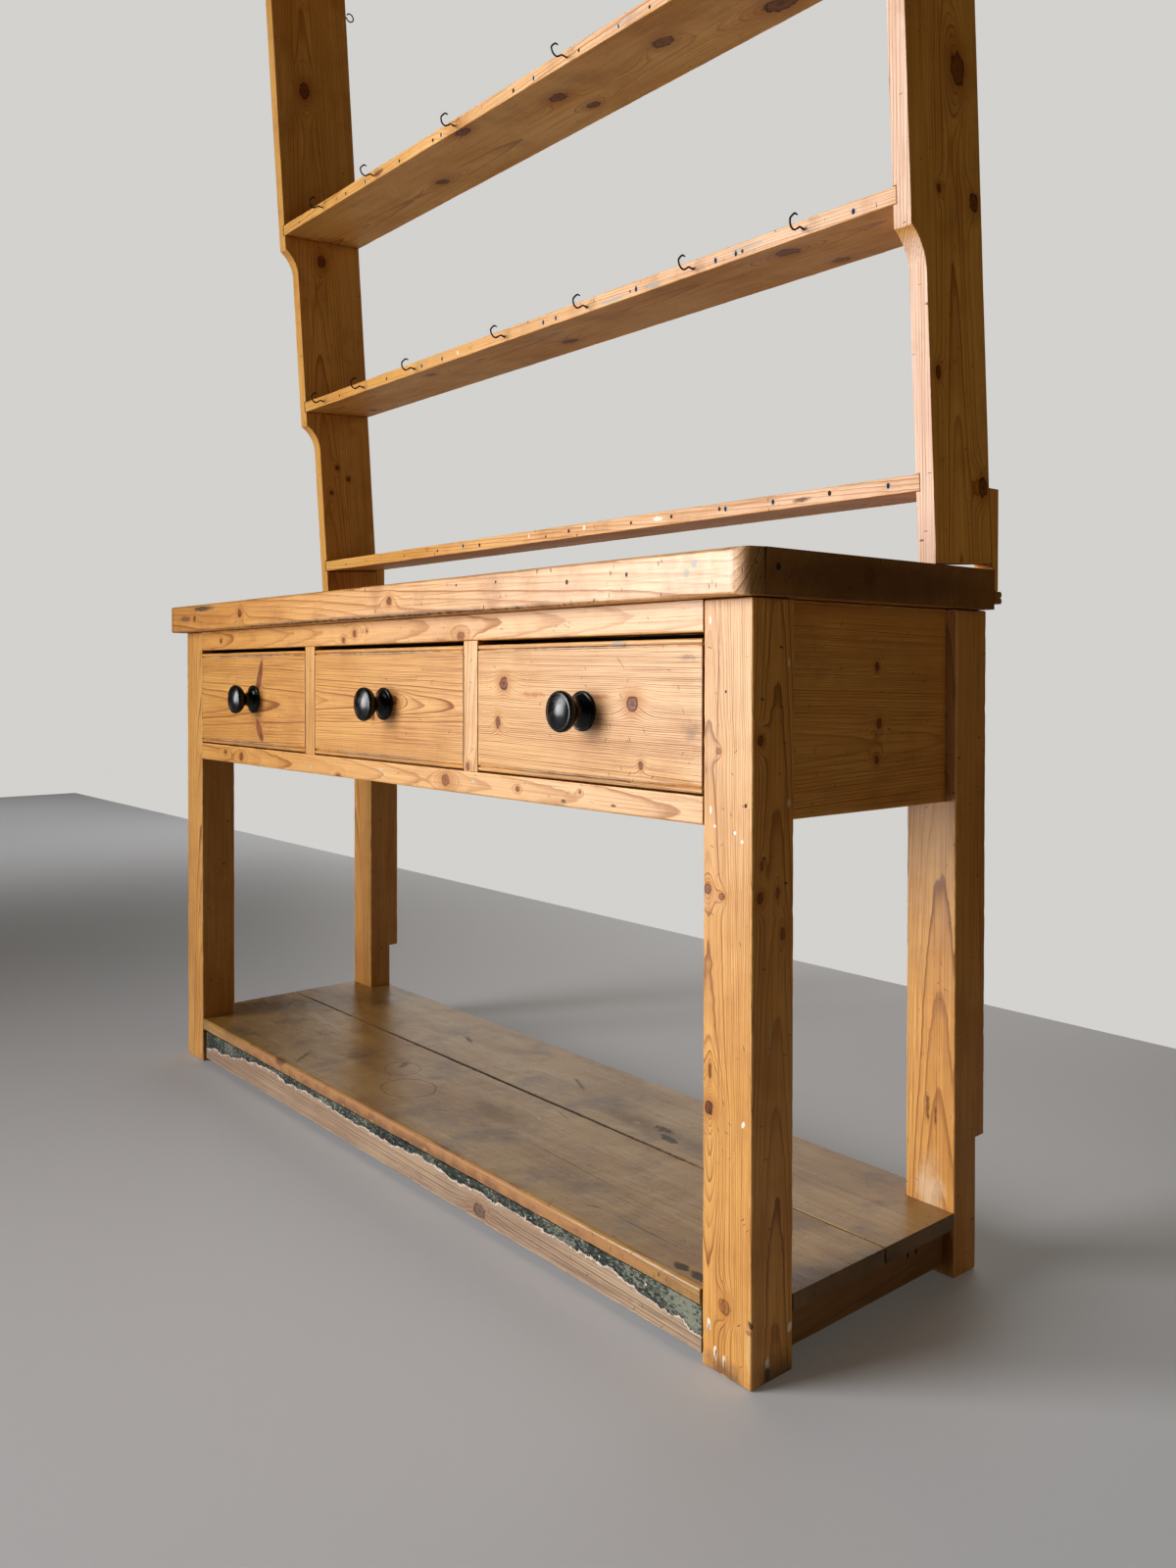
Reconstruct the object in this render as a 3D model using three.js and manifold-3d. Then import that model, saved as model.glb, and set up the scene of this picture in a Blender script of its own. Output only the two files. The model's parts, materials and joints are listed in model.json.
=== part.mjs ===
// A pine dresser: a base of three drawers on square legs with a pot board near the floor,
// and an open rack of plate shelves that stands on the worktop and leans forward a little.
// Millimetres, +Z up, front towards -Y. The origin is on the floor under the middle of the piece.
import * as THREE from "three";
import { mergeVertices } from "three/addons/utils/BufferGeometryUtils.js";
import Module from "manifold-3d";

const wasm = await Module();
wasm.setup();

// What every cut passes its piece by, and the room left between pieces.
const overrun = 2;
const jointGap = 0.3;
const drawerSideGap = 1;
const drawerStopGap = 1;

// Base: the frame's outer size and its square legs, the rear pair cut over the skirting.
const baseWidth = 1408;
const baseDepth = 412;
const legHeight = 783;
const legWidth = 68;
const legDepth = 63;
const skirtingDepth = 20;
const skirtingHeight = 157;
const innerHalf = baseWidth / 2 - legWidth;

// Worktop: one thick board, its front right corner worn round.
const worktopThickness = 47;
const worktopSideOverhang = 15.5;
const worktopFrontOverhang = 24;
const worktopRearSetback = 8.5;
const worktopArris = 4;
const worktopUnderArris = 4;
const worktopSoundCorner = 4;
const worktopWornCorner = 26;
const worktopTop = legHeight + worktopThickness;
const worktopRear = baseDepth - worktopRearSetback;

// Rails above and below the drawers, the muntins between them, and their tenons.
const topRailHeight = 34;
const drawerOpeningHeight = 167;
const bottomRailHeight = 30;
const railDepth = 45;
const railArris = 3;
const muntinWidth = 31;
const tenonLength = 25;
const tenonShoulder = 9;
const stubTenonLength = 8;
const bottomRailTop = legHeight - topRailHeight - drawerOpeningHeight;
const topRailUnderside = legHeight - topRailHeight;

// The three openings' shares of the width that legs and muntins leave clear.
const openingWidthShares = [0.3335, 0.3363, 0.3302];

// End panels and back board, tongued into the legs.
const panelThickness = 18;
const panelRecess = 14;
const backBoardRecess = 8;
const tongueThickness = 8;
const tongueLength = 10;
const panelLift = 5;
const panelUnderside = bottomRailTop - bottomRailHeight + panelLift;

// Drawer runners, with guides that keep the drawers square.
const runnerThickness = 22;
const runnerShelf = 18;
const guideHeight = 16;

// Drawers: lapped dovetails at the front, through dovetails at the back.
const drawerFrontLift = 1.5;
const drawerFrontDrop = 5.5;
const drawerFrontThickness = 20;
const drawerBoardThickness = 10;
const drawerSideDrop = 4;
const drawerBottomThickness = 6;
const drawerBottomLift = 12;
const grooveDepth = 5;
const lapThickness = 6;
const beadHeight = 6;
const quirkWidth = 2;
const tailCount = 3;
const tailWideShare = 0.36;
const tailSlopeShare = 0.17;

// Knobs: turned, with a spigot through the drawer front. Each stands a little off centre.
const knobDrop = 1;
const knobProjection = 42;
const knobRadius = 24;
const knobSpigotRadius = 6;
const knobOffsets = [17, 5.5, 9];
const knobHeight = bottomRailTop + drawerOpeningHeight / 2 - knobDrop;

// Shares of the knob's radius and projection: the flared foot with its bead, then the head.
const knobFootShares = [
  [0.93, 0],
  [0.97, 0.035],
  [0.93, 0.08],
  [0.8, 0.1],
];
const knobNeckShares = [
  [0.76, 0.13],
  [0.58, 0.2],
  [0.46, 0.3],
  [0.44, 0.42],
  [0.6, 0.52],
  [0.85, 0.59],
  [0.98, 0.7],
  [1, 0.79],
  [0.93, 0.86],
];
const knobFaceShares = [
  [0.84, 0.885],
  [0.5, 0.96],
  [0, 1],
];

// Pot board: two boards round the legs, on rails near the floor.
const potBoardTop = 78;
const potBoardThickness = 19;
const potBoardArris = 5;
const potBoardSeam = 218;
const potBoardSeamGap = 2;
const plinthUnderside = 10;
const plinthThickness = 18;
const plinthShortfall = 16;
const footRailUnderside = 13;
const footRailThickness = 20;
const footTenonLength = 14;
const footTenonShoulder = 5;

// Rack: two shaped sides that step forward above each cove, housed for the shelves.
const rackLeanDegrees = 3.56;
const rackSetIn = 2.5;
const rackHeelSetback = 2.4;
const rackSideThickness = 24;
const rackDepth = 113;
const rackSteps = [26, 24];
const coveHeight = 48;
const noseDrop = 26;
const bayHeights = [83, 293.5, 319.5, 519];
const shelfThickness = 20;
const shelfArris = 1.5;
const housingDepth = 6;
const plateGrooveWidth = 8;
const plateGrooveDepth = 4;
const plateGrooveSetIn = 30;
const lean = THREE.MathUtils.degToRad(rackLeanDegrees);
const rackHalfWidth = baseWidth / 2 + worktopSideOverhang - rackSetIn;
const rackFoot = worktopRear - rackHeelSetback - rackDepth * Math.cos(lean);

// Batten and cleats behind the worktop, which hold the rack's foot.
const battenHeight = 15;
const battenDepth = 19.2;
const battenDrop = 25;
const cleatRise = 96;
const cleatDepth = 11.5;
const battenTop = worktopTop - battenDrop;

// Rack top, with a cove cornice mitred round the front and sides.
const topBoardThickness = 20;
const corniceHeight = 43;
const corniceProjection = 28;
const corniceFillet = 5;

// Cup hooks along the middle shelf, placed from the shelf's middle, and one eye for a wall tie.
const wireRadius = 1.2;
const hookReach = 26;
const shankLength = 10;
const hookLift = 8;
const hookPlaceShares = [-0.892, -0.674, -0.421, -0.043, 0.245, 0.554, 0.82];
const eyeRadius = 7.8;
const eyeReach = 25;
const eyeDrop = 72;

// How finely round shapes are cut.
const arrisSegments = 4;
const coveSegments = 10;
const knobSegments = 24;
const footDivisions = 4;
const neckDivisions = 12;
const faceDivisions = 4;
const boreSegments = 16;
const wireSides = 8;
const hookSteps = 18;
const eyeSegments = 18;

const pine = new THREE.MeshStandardMaterial({ color: 0xc9893f, roughness: 0.5, metalness: 0 });
const darkPine = new THREE.MeshStandardMaterial({ color: 0x8a5a28, roughness: 0.6, metalness: 0 });
const rawPine = new THREE.MeshStandardMaterial({ color: 0xb9a078, roughness: 0.8, metalness: 0 });
const ebonised = new THREE.MeshStandardMaterial({ color: 0x0d0d0f, roughness: 0.2, metalness: 0 });
const iron = new THREE.MeshStandardMaterial({ color: 0x2a2623, roughness: 0.55, metalness: 0.8 });

// Turns a closed geometry into a solid that can be joined and cut.
function solidOf(geometry) {
  const bare = geometry.clone();
  bare.deleteAttribute("normal");
  bare.deleteAttribute("uv");
  const merged = mergeVertices(bare);
  const vertProperties = merged.attributes.position.array;
  const triVerts = new Uint32Array(merged.index.array);
  return new wasm.Manifold(new wasm.Mesh({ numProp: 3, vertProperties, triVerts }));
}

// Names a finished solid and adds it to its group.
function addPiece(group, name, solid, material) {
  const { vertProperties, triVerts } = solid.getMesh();
  const geometry = new THREE.BufferGeometry();
  geometry.setAttribute("position", new THREE.BufferAttribute(vertProperties, 3));
  geometry.setIndex(new THREE.BufferAttribute(triVerts, 1));
  geometry.computeVertexNormals();
  const piece = new THREE.Mesh(geometry, material);
  piece.name = name;
  group.add(piece);
}

// A block is given by the range that it fills along each axis.
function blockOf([x, y, z]) {
  const sizes = [x, y, z].map(([low, high]) => high - low);
  const centre = [x, y, z].map(([low, high]) => (low + high) / 2);
  return solidOf(new THREE.BoxGeometry(...sizes).translate(...centre));
}

// The same ranges with room added on every side.
const roomy = (ranges, room = jointGap) => ranges.map(([low, high]) => [low - room, high + room]);

// A range that lies from near to far out on the left (-1) or the right (1) of the middle.
const outward = (side, near, far) => (side > 0 ? [near, far] : [-far, -near]);

const inset = ([low, high], by) => [low + by, high - by];

// Draws an outline out along an axis. Along X it lies in (y, z), along Z in (x, y).
function drawOut(shape, axis, [from, to], curveSegments = arrisSegments) {
  const geometry = new THREE.ExtrudeGeometry(shape, {
    depth: to - from,
    bevelEnabled: false,
    curveSegments,
  });
  geometry.translate(0, 0, from);
  const unitX = new THREE.Vector3(1, 0, 0);
  const unitY = new THREE.Vector3(0, 1, 0);
  const unitZ = new THREE.Vector3(0, 0, 1);
  if (axis === "x") geometry.applyMatrix4(new THREE.Matrix4().makeBasis(unitY, unitZ, unitX));
  return solidOf(geometry);
}

const outlineOf = (points) => new THREE.Shape(points.map(([u, v]) => new THREE.Vector2(u, v)));

// An oblong outline whose corners, from low u and low v and then anticlockwise, are rounded.
function roundedOblong([u0, u1], [v0, v1], [lowLow, highLow, highHigh, lowHigh]) {
  const shape = new THREE.Shape();
  const quarter = Math.PI / 2;
  const corner = (u, v, radius, turns) => {
    if (radius > 0) shape.absarc(u, v, radius, turns * quarter, (turns + 1) * quarter, false);
    else shape.lineTo(u, v);
  };
  shape.moveTo(u0 + lowLow, v0);
  corner(u1 - highLow, v0 + highLow, highLow, 3);
  corner(u1 - highHigh, v1 - highHigh, highHigh, 0);
  corner(u0 + lowHigh, v1 - lowHigh, lowHigh, 1);
  corner(u0 + lowLow, v0 + lowLow, lowLow, 2);
  return shape;
}

// Joinery of the base

const mortised = (solid, tenons) =>
  tenons.reduce((cut, tenon) => cut.subtract(blockOf(roomy(tenon))), solid);

const tenoned = (solid, tenons) =>
  tenons.reduce((joined, tenon) => joined.add(blockOf(tenon)), solid);

const topRailRanges = [[-innerHalf, innerHalf], [0, railDepth], [topRailUnderside, legHeight]];
const bottomRailRanges = [
  [-innerHalf, innerHalf],
  [0, railDepth],
  [bottomRailTop - bottomRailHeight, bottomRailTop],
];
const rearLegFront = baseDepth - legDepth;

// A tenon on the end of a rail that runs across, let into a leg.
function railTenon([, y, z], side, length, shoulder) {
  const x = outward(side, innerHalf - overrun, innerHalf + length);
  return [x, inset(y, shoulder), inset(z, shoulder)];
}

// A tongue on the end of a panel that runs from front to back.
function panelTongue(side, rear) {
  const middle = baseWidth / 2 - panelRecess - panelThickness / 2;
  const x = outward(side, middle - tongueThickness / 2, middle + tongueThickness / 2);
  const y = rear
    ? [rearLegFront - overrun, rearLegFront + tongueLength]
    : [legDepth - tongueLength, legDepth + overrun];
  return [x, y, [panelUnderside + tongueLength, legHeight - tongueLength]];
}

const backBoardY = [
  baseDepth - backBoardRecess - panelThickness,
  baseDepth - backBoardRecess,
];

function backTongue(side) {
  const x = outward(side, innerHalf - overrun, innerHalf + tongueLength);
  const y = inset(backBoardY, (panelThickness - tongueThickness) / 2);
  return [x, y, [panelUnderside + tongueLength, legHeight - tongueLength]];
}

const potBoardUnderside = potBoardTop - potBoardThickness;
const footRailZ = [footRailUnderside, potBoardUnderside];
const rearFootRailY = [
  baseDepth - skirtingDepth - footTenonShoulder - footRailThickness,
  baseDepth - skirtingDepth - footTenonShoulder,
];
const plinthRanges = [
  [-innerHalf + plinthShortfall, innerHalf],
  [0, plinthThickness],
  [plinthUnderside, potBoardUnderside],
];

function endFootRailX(side) {
  const face = baseWidth / 2 - panelRecess;
  return outward(side, face - footRailThickness, face);
}

function endFootTenon(side, rear) {
  const y = rear
    ? [rearLegFront - overrun, rearLegFront + footTenonLength]
    : [legDepth - footTenonLength, legDepth + overrun];
  return [inset(endFootRailX(side), footTenonShoulder), y, inset(footRailZ, footTenonShoulder)];
}

function legTenons(side, rear) {
  const shared = [panelTongue(side, rear), endFootTenon(side, rear)];
  const ranges = [null, rearFootRailY, footRailZ];
  if (rear) {
    return [...shared, backTongue(side), railTenon(ranges, side, footTenonLength, footTenonShoulder)];
  }
  const rails = [topRailRanges, bottomRailRanges];
  return [...shared, ...rails.map((rail) => railTenon(rail, side, tenonLength, tenonShoulder))];
}

function leg(side, rear) {
  const x = outward(side, innerHalf, baseWidth / 2);
  const y = rear ? [rearLegFront, baseDepth] : [0, legDepth];
  let post = blockOf([x, y, [0, legHeight]]);
  if (rear) {
    const behind = [baseDepth - skirtingDepth, baseDepth + overrun];
    post = post.subtract(blockOf([inset(x, -overrun), behind, [-overrun, skirtingHeight]]));
  }
  return mortised(post, legTenons(side, rear));
}

// A muntin's stub tenon goes up into the top rail or down into the bottom one.
function muntinTenon([x], upper) {
  const z = upper
    ? [topRailUnderside - overrun, topRailUnderside + stubTenonLength]
    : [bottomRailTop - stubTenonLength, bottomRailTop + overrun];
  return [inset(x, tenonShoulder), inset([0, railDepth], tenonShoulder), z];
}

// Openings from left to right, each with its muntin's ranges on its right if it has one.
function layOutOpenings() {
  const clearWidth = 2 * innerHalf - 2 * muntinWidth;
  let left = -innerHalf;
  return openingWidthShares.map((share) => {
    const right = Math.min(left + share * clearWidth, innerHalf);
    const opening = { left, right };
    left = right + muntinWidth;
    return opening;
  });
}

const openings = layOutOpenings();
const muntins = openings.slice(0, -1).map(({ right }) => [
  [right, right + muntinWidth],
  [0, railDepth],
  [bottomRailTop, topRailUnderside],
]);

// A rail is flush with the legs, with its front arrises worn round, lower and upper.
function rail(ranges, lowerArris, upperArris, upperMortises) {
  const [x, y, z] = ranges;
  const profile = roundedOblong(y, z, [lowerArris, 0, 0, upperArris]);
  const ends = [-1, 1].map((side) => railTenon(ranges, side, tenonLength, tenonShoulder));
  const body = tenoned(drawOut(profile, "x", x), ends);
  return mortised(body, muntins.map((muntin) => muntinTenon(muntin, upperMortises)));
}

function muntin(ranges) {
  return tenoned(blockOf(ranges), [muntinTenon(ranges, true), muntinTenon(ranges, false)]);
}

function endPanel(side) {
  const face = baseWidth / 2 - panelRecess;
  const x = outward(side, face - panelThickness, face);
  const board = blockOf([x, [legDepth, rearLegFront], [panelUnderside, legHeight]]);
  return tenoned(board, [panelTongue(side, false), panelTongue(side, true)]);
}

function backBoard() {
  const board = blockOf([[-innerHalf, innerHalf], backBoardY, [panelUnderside, legHeight]]);
  return tenoned(board, [backTongue(-1), backTongue(1)]);
}

// The worktop's section has eased front arrises, and its plan has the worn corner.
function worktop() {
  const half = baseWidth / 2 + worktopSideOverhang;
  const y = [-worktopFrontOverhang, worktopRear];
  const corners = [worktopSoundCorner, worktopWornCorner, 0, 0];
  const plan = roundedOblong([-half, half], y, corners);
  const z = [legHeight, worktopTop];
  const section = roundedOblong(y, z, [worktopUnderArris, 0, 0, worktopArris]);
  const board = drawOut(plan, "z", z, coveSegments);
  return board.intersect(drawOut(section, "x", [-half - overrun, half + overrun]));
}

// Drawer runners

const runnerZ = [bottomRailTop - runnerThickness, bottomRailTop];
const runnerY = [railDepth, backBoardY[0]];

// Between two drawers the runner carries both, with the guide behind the muntin.
function middleRunner([x]) {
  const shelf = blockOf([inset(x, -runnerShelf), runnerY, runnerZ]);
  return shelf.add(blockOf([x, runnerY, [bottomRailTop - overrun, bottomRailTop + guideHeight]]));
}

// At an end the runner fills the space to the panel and its guide stands between the legs.
function endRunner(side) {
  const panelFace = baseWidth / 2 - panelRecess - panelThickness;
  const shelf = blockOf([outward(side, innerHalf - runnerShelf, innerHalf), runnerY, runnerZ]);
  const between = [legDepth, rearLegFront];
  const x = outward(side, innerHalf - overrun, panelFace);
  const wing = blockOf([x, between, runnerZ]);
  const guideZ = [bottomRailTop - overrun, bottomRailTop + guideHeight];
  return shelf.add(wing).add(blockOf([outward(side, innerHalf, panelFace), between, guideZ]));
}

// Pot board and the rails under it

function potBoard(y, arris, legRanges) {
  const x = [-baseWidth / 2, baseWidth / 2];
  const section = roundedOblong(y, [potBoardUnderside, potBoardTop], [0, 0, 0, arris]);
  const board = drawOut(section, "x", x);
  return [-1, 1].reduce((cut, side) => {
    const notchX = outward(side, innerHalf - jointGap, baseWidth / 2 + overrun);
    const notchZ = [potBoardUnderside - overrun, potBoardTop + overrun];
    return cut.subtract(blockOf([notchX, legRanges, notchZ]));
  }, board);
}

const frontPotBoard = () =>
  potBoard([0, potBoardSeam - potBoardSeamGap / 2], potBoardArris, [-overrun, legDepth + jointGap]);

function rearPotBoard() {
  const rear = baseDepth - skirtingDepth;
  const y = [potBoardSeam + potBoardSeamGap / 2, rear];
  return potBoard(y, 0, [rearLegFront - jointGap, rear + overrun]);
}

function endFootRail(side) {
  const body = blockOf([endFootRailX(side), [legDepth, rearLegFront], footRailZ]);
  return tenoned(body, [endFootTenon(side, false), endFootTenon(side, true)]);
}

function rearFootRail() {
  const ranges = [[-innerHalf, innerHalf], rearFootRailY, footRailZ];
  const tenon = (side) => railTenon(ranges, side, footTenonLength, footTenonShoulder);
  return tenoned(blockOf(ranges), [-1, 1].map(tenon));
}

// Drawers

// The front's section: a bead with its quirk along the upper and the lower edge.
function drawerFrontSection([low, high]) {
  const shape = new THREE.Shape();
  const radius = beadHeight / 2;
  shape.moveTo(drawerFrontThickness, low);
  shape.lineTo(drawerFrontThickness, high);
  shape.absarc(radius, high - radius, radius, Math.PI / 2, (3 * Math.PI) / 2, false);
  shape.lineTo(0, high - beadHeight - quirkWidth);
  shape.lineTo(0, low + beadHeight + quirkWidth);
  shape.lineTo(radius, low + beadHeight);
  shape.absarc(radius, low + radius, radius, Math.PI / 2, (3 * Math.PI) / 2, false);
  return shape;
}

// The row of tails between two heights, as outlines in (y, z). A tail widens from its base to its tip.
function tailOutlines([low, high], base, tip, room) {
  const pitch = (high - low) / tailCount;
  const wide = pitch * tailWideShare;
  const away = Math.sign(tip - base);
  const halfAt = (y) => wide - tailSlopeShare * Math.abs(tip - y) + room;
  const near = base - away * overrun;
  const far = tip + away * room;
  return Array.from({ length: tailCount }, (_, index) => {
    const middle = low + (index + 1 / 2) * pitch;
    return outlineOf([
      [near, middle - halfAt(near)],
      [far, middle - wide - room],
      [far, middle + wide + room],
      [near, middle + halfAt(near)],
    ]);
  });
}

// Where a drawer's boards lie, worked out from its opening.
function drawerPlaces({ left, right }) {
  const x = [left + drawerSideGap, right - drawerSideGap];
  const rear = backBoardY[0] - drawerStopGap;
  const frontZ = [bottomRailTop + drawerFrontLift, topRailUnderside - drawerFrontDrop];
  const sideZ = [bottomRailTop + jointGap, frontZ[1] - drawerSideDrop];
  const bottomZ = [sideZ[0] + drawerBottomLift, sideZ[0] + drawerBottomLift + drawerBottomThickness];
  const backZ = [bottomZ[1] + jointGap, sideZ[1] - drawerSideDrop];
  return { x, rear, backFace: rear - drawerBoardThickness, frontZ, sideZ, bottomZ, backZ };
}

// The groove that the drawer's bottom slides in, cut into the front and both sides.
function drawerBottomRanges({ x, rear, bottomZ }) {
  const reach = drawerBoardThickness - grooveDepth;
  return [inset(x, reach), [drawerFrontThickness - grooveDepth, rear], bottomZ];
}

const sideBoardX = ({ x }, side) =>
  side > 0 ? [x[1] - drawerBoardThickness, x[1]] : [x[0], x[0] + drawerBoardThickness];

const frontTails = ({ frontZ, sideZ }, room) =>
  tailOutlines([frontZ[0], sideZ[1]], drawerFrontThickness, lapThickness, room);

const rearTails = ({ backZ, backFace, rear }, room) => tailOutlines(backZ, backFace, rear, room);

function cutTails(solid, outlines, places) {
  for (const side of [-1, 1]) {
    const [near, far] = sideBoardX(places, side);
    const x = side > 0 ? [near - jointGap, far + overrun] : [near - overrun, far + jointGap];
    for (const outline of outlines) solid = solid.subtract(drawOut(outline, "x", x));
  }
  return solid;
}

function drawerFront(places, knobX) {
  const board = drawOut(drawerFrontSection(places.frontZ), "x", places.x);
  const grooved = board.subtract(blockOf(roomy(drawerBottomRanges(places))));
  const bore = new THREE.CylinderGeometry(
    knobSpigotRadius + jointGap,
    knobSpigotRadius + jointGap,
    drawerFrontThickness + 2 * overrun,
    boreSegments,
  );
  bore.translate(0, drawerFrontThickness / 2, 0);
  bore.translate(knobX, 0, knobHeight);
  return cutTails(grooved.subtract(solidOf(bore)), frontTails(places, jointGap), places);
}

function drawerSide(places, side) {
  const { sideZ, backZ, backFace, rear } = places;
  const x = sideBoardX(places, side);
  let board = blockOf([x, [drawerFrontThickness, backFace], sideZ]);
  board = board.add(blockOf([x, [backFace - overrun, rear], [sideZ[0], backZ[0] - jointGap]]));
  for (const tail of [...frontTails(places, 0), ...rearTails(places, 0)]) {
    board = board.add(drawOut(tail, "x", x));
  }
  return board.subtract(blockOf(roomy(drawerBottomRanges(places))));
}

function drawerBack(places) {
  const board = blockOf([places.x, [places.backFace, places.rear], places.backZ]);
  return cutTails(board, rearTails(places, jointGap), places);
}

// A knob is turned about its own axis, from a spigot and a flared foot to a domed head.
function knob(knobX) {
  const curve = (shares, divisions) => {
    const points = shares.map(([radiusShare, outShare]) => {
      return new THREE.Vector2(radiusShare * knobRadius, outShare * knobProjection);
    });
    return new THREE.SplineCurve(points).getPoints(divisions);
  };
  const outline = [
    new THREE.Vector2(0, -drawerFrontThickness),
    new THREE.Vector2(knobSpigotRadius, -drawerFrontThickness),
    new THREE.Vector2(knobSpigotRadius, 0),
    ...curve(knobFootShares, footDivisions),
    ...curve(knobNeckShares, neckDivisions),
    ...curve(knobFaceShares, faceDivisions),
  ];
  outline[outline.length - 1].x = 0;
  const turned = new THREE.LatheGeometry(outline, knobSegments);
  turned.rotateX(Math.PI);
  turned.translate(knobX, 0, knobHeight);
  return solidOf(turned);
}

function addDrawer(parent, name, opening, offset) {
  const drawer = new THREE.Group();
  const places = drawerPlaces(opening);
  const knobX = (opening.left + opening.right) / 2 + offset;
  addPiece(drawer, `${name}_front`, drawerFront(places, knobX), pine);
  addPiece(drawer, `${name}_side_left`, drawerSide(places, -1), darkPine);
  addPiece(drawer, `${name}_side_right`, drawerSide(places, 1), darkPine);
  addPiece(drawer, `${name}_back`, drawerBack(places), darkPine);
  addPiece(drawer, `${name}_bottom`, blockOf(drawerBottomRanges(places)), darkPine);
  addPiece(drawer, `${name}_knob`, knob(knobX), ebonised);
  parent.add(drawer);
}

// Batten and cleats

// A point of the leaning rack, from its own (y, z) to the base's.
const rackFootHeight = worktopTop + jointGap;
const inBase = (y, z) => [
  rackFoot + y * Math.cos(lean) - z * Math.sin(lean),
  rackFootHeight + y * Math.sin(lean) + z * Math.cos(lean),
];

// The batten lies along the worktop's rear edge, with two reeds along its back.
function batten() {
  const radius = battenHeight / 4;
  const low = battenTop - battenHeight;
  const crown = worktopRear + battenDepth - radius;
  const shape = new THREE.Shape();
  shape.moveTo(worktopRear, battenTop);
  shape.lineTo(worktopRear, low);
  shape.absarc(crown, low + radius, radius, -Math.PI / 2, Math.PI / 2, false);
  shape.absarc(crown, battenTop - radius, radius, -Math.PI / 2, Math.PI / 2, false);
  return drawOut(shape, "x", [-rackHalfWidth, rackHalfWidth]);
}

const rackSideX = (side) => outward(side, rackHalfWidth - rackSideThickness, rackHalfWidth);

// A cleat stands on the batten, against the worktop's edge and the back of the leaning side.
function cleat(side) {
  const [heelY, heelZ] = inBase(rackDepth + jointGap, 0);
  const cleatTop = worktopTop + cleatRise;
  const outline = outlineOf([
    [worktopRear, battenTop],
    [worktopRear + cleatDepth, battenTop],
    [worktopRear + cleatDepth, cleatTop],
    [heelY - (cleatTop - heelZ) * Math.tan(lean), cleatTop],
    [heelY, heelZ],
    [worktopRear, worktopTop],
  ]);
  return drawOut(outline, "x", rackSideX(side));
}

// Rack, in its own upright frame: y = 0 is the front of the lowest stage, z = 0 its foot

// Each stage's front stands one step further out than the stage below.
const stageFronts = rackSteps.reduce((fronts, step) => [...fronts, fronts.at(-1) - step], [0]);
const upperFront = stageFronts.at(-1);
const rackInnerHalf = rackHalfWidth - rackSideThickness;
const hookPlaces = hookPlaceShares.map((share) => share * rackInnerHalf);

// Each bay lies on the shelf below it, and the top board closes the last one.
const shelfUndersides = bayHeights.slice(1).reduce(
  (undersides, bay) => [...undersides, undersides.at(-1) + shelfThickness + bay],
  [bayHeights[0]],
);
const rackSideHeight = shelfUndersides.pop();
const eyeHeight = rackSideHeight - eyeDrop;

// Each cove leaves the stage below without a break and ends at the nose of the one above.
function rackSideOutline() {
  const shape = new THREE.Shape();
  shape.moveTo(rackDepth, 0);
  shape.lineTo(0, 0);
  rackSteps.forEach((step, index) => {
    const nose = shelfUndersides[index + 1] - noseDrop;
    const radius = (step ** 2 + coveHeight ** 2) / (2 * step);
    const turn = Math.asin(coveHeight / radius);
    shape.absarc(stageFronts[index] - radius, nose - coveHeight, radius, 0, turn, false);
  });
  shape.lineTo(upperFront, rackSideHeight);
  shape.lineTo(rackDepth, rackSideHeight);
  return shape;
}

function rackSide(side) {
  let board = drawOut(rackSideOutline(), "x", rackSideX(side), coveSegments);
  shelfUndersides.forEach((underside, stage) => {
    const x = outward(side, rackInnerHalf - overrun, rackInnerHalf + housingDepth);
    const y = [stageFronts[stage] - overrun, rackDepth + overrun];
    const z = [underside - jointGap, underside + shelfThickness + jointGap];
    board = board.subtract(blockOf([x, y, z]));
  });
  return side < 0 ? board.subtract(wireBore(eyeX, rackDepth - shankLength, eyeHeight)) : board;
}

// A bore for a screwed shank of wire, from its blind end y forwards or backwards past the edge.
function wireBore(x, blindEnd, z, away = 1) {
  const length = shankLength + overrun + jointGap;
  const radius = wireRadius + jointGap;
  const bore = new THREE.CylinderGeometry(radius, radius, length, wireSides);
  bore.translate(x, blindEnd + away * (length / 2 - jointGap), z);
  return solidOf(bore);
}

function shelf(stage) {
  const front = stageFronts[stage];
  const underside = shelfUndersides[stage];
  const top = underside + shelfThickness;
  const half = rackInnerHalf + housingDepth - jointGap;
  const section = roundedOblong([front, rackDepth], [underside, top], [shelfArris, 0, 0, shelfArris]);
  const groove = [
    [-half - overrun, half + overrun],
    [rackDepth - plateGrooveSetIn - plateGrooveWidth, rackDepth - plateGrooveSetIn],
    [top - plateGrooveDepth, top + overrun],
  ];
  return drawOut(section, "x", [-half, half]).subtract(blockOf(groove));
}

const hookStage = 1;

function hookedShelf() {
  const blindEnd = stageFronts[hookStage] + shankLength;
  const z = shelfUndersides[hookStage] + hookLift;
  return hookPlaces.reduce(
    (board, x) => board.subtract(wireBore(x, blindEnd, z, -1)),
    shelf(hookStage),
  );
}

function topBoard() {
  const z = [rackSideHeight + jointGap, rackSideHeight + jointGap + topBoardThickness];
  return blockOf([[-rackHalfWidth, rackHalfWidth], [upperFront, rackDepth], z]);
}

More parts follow.
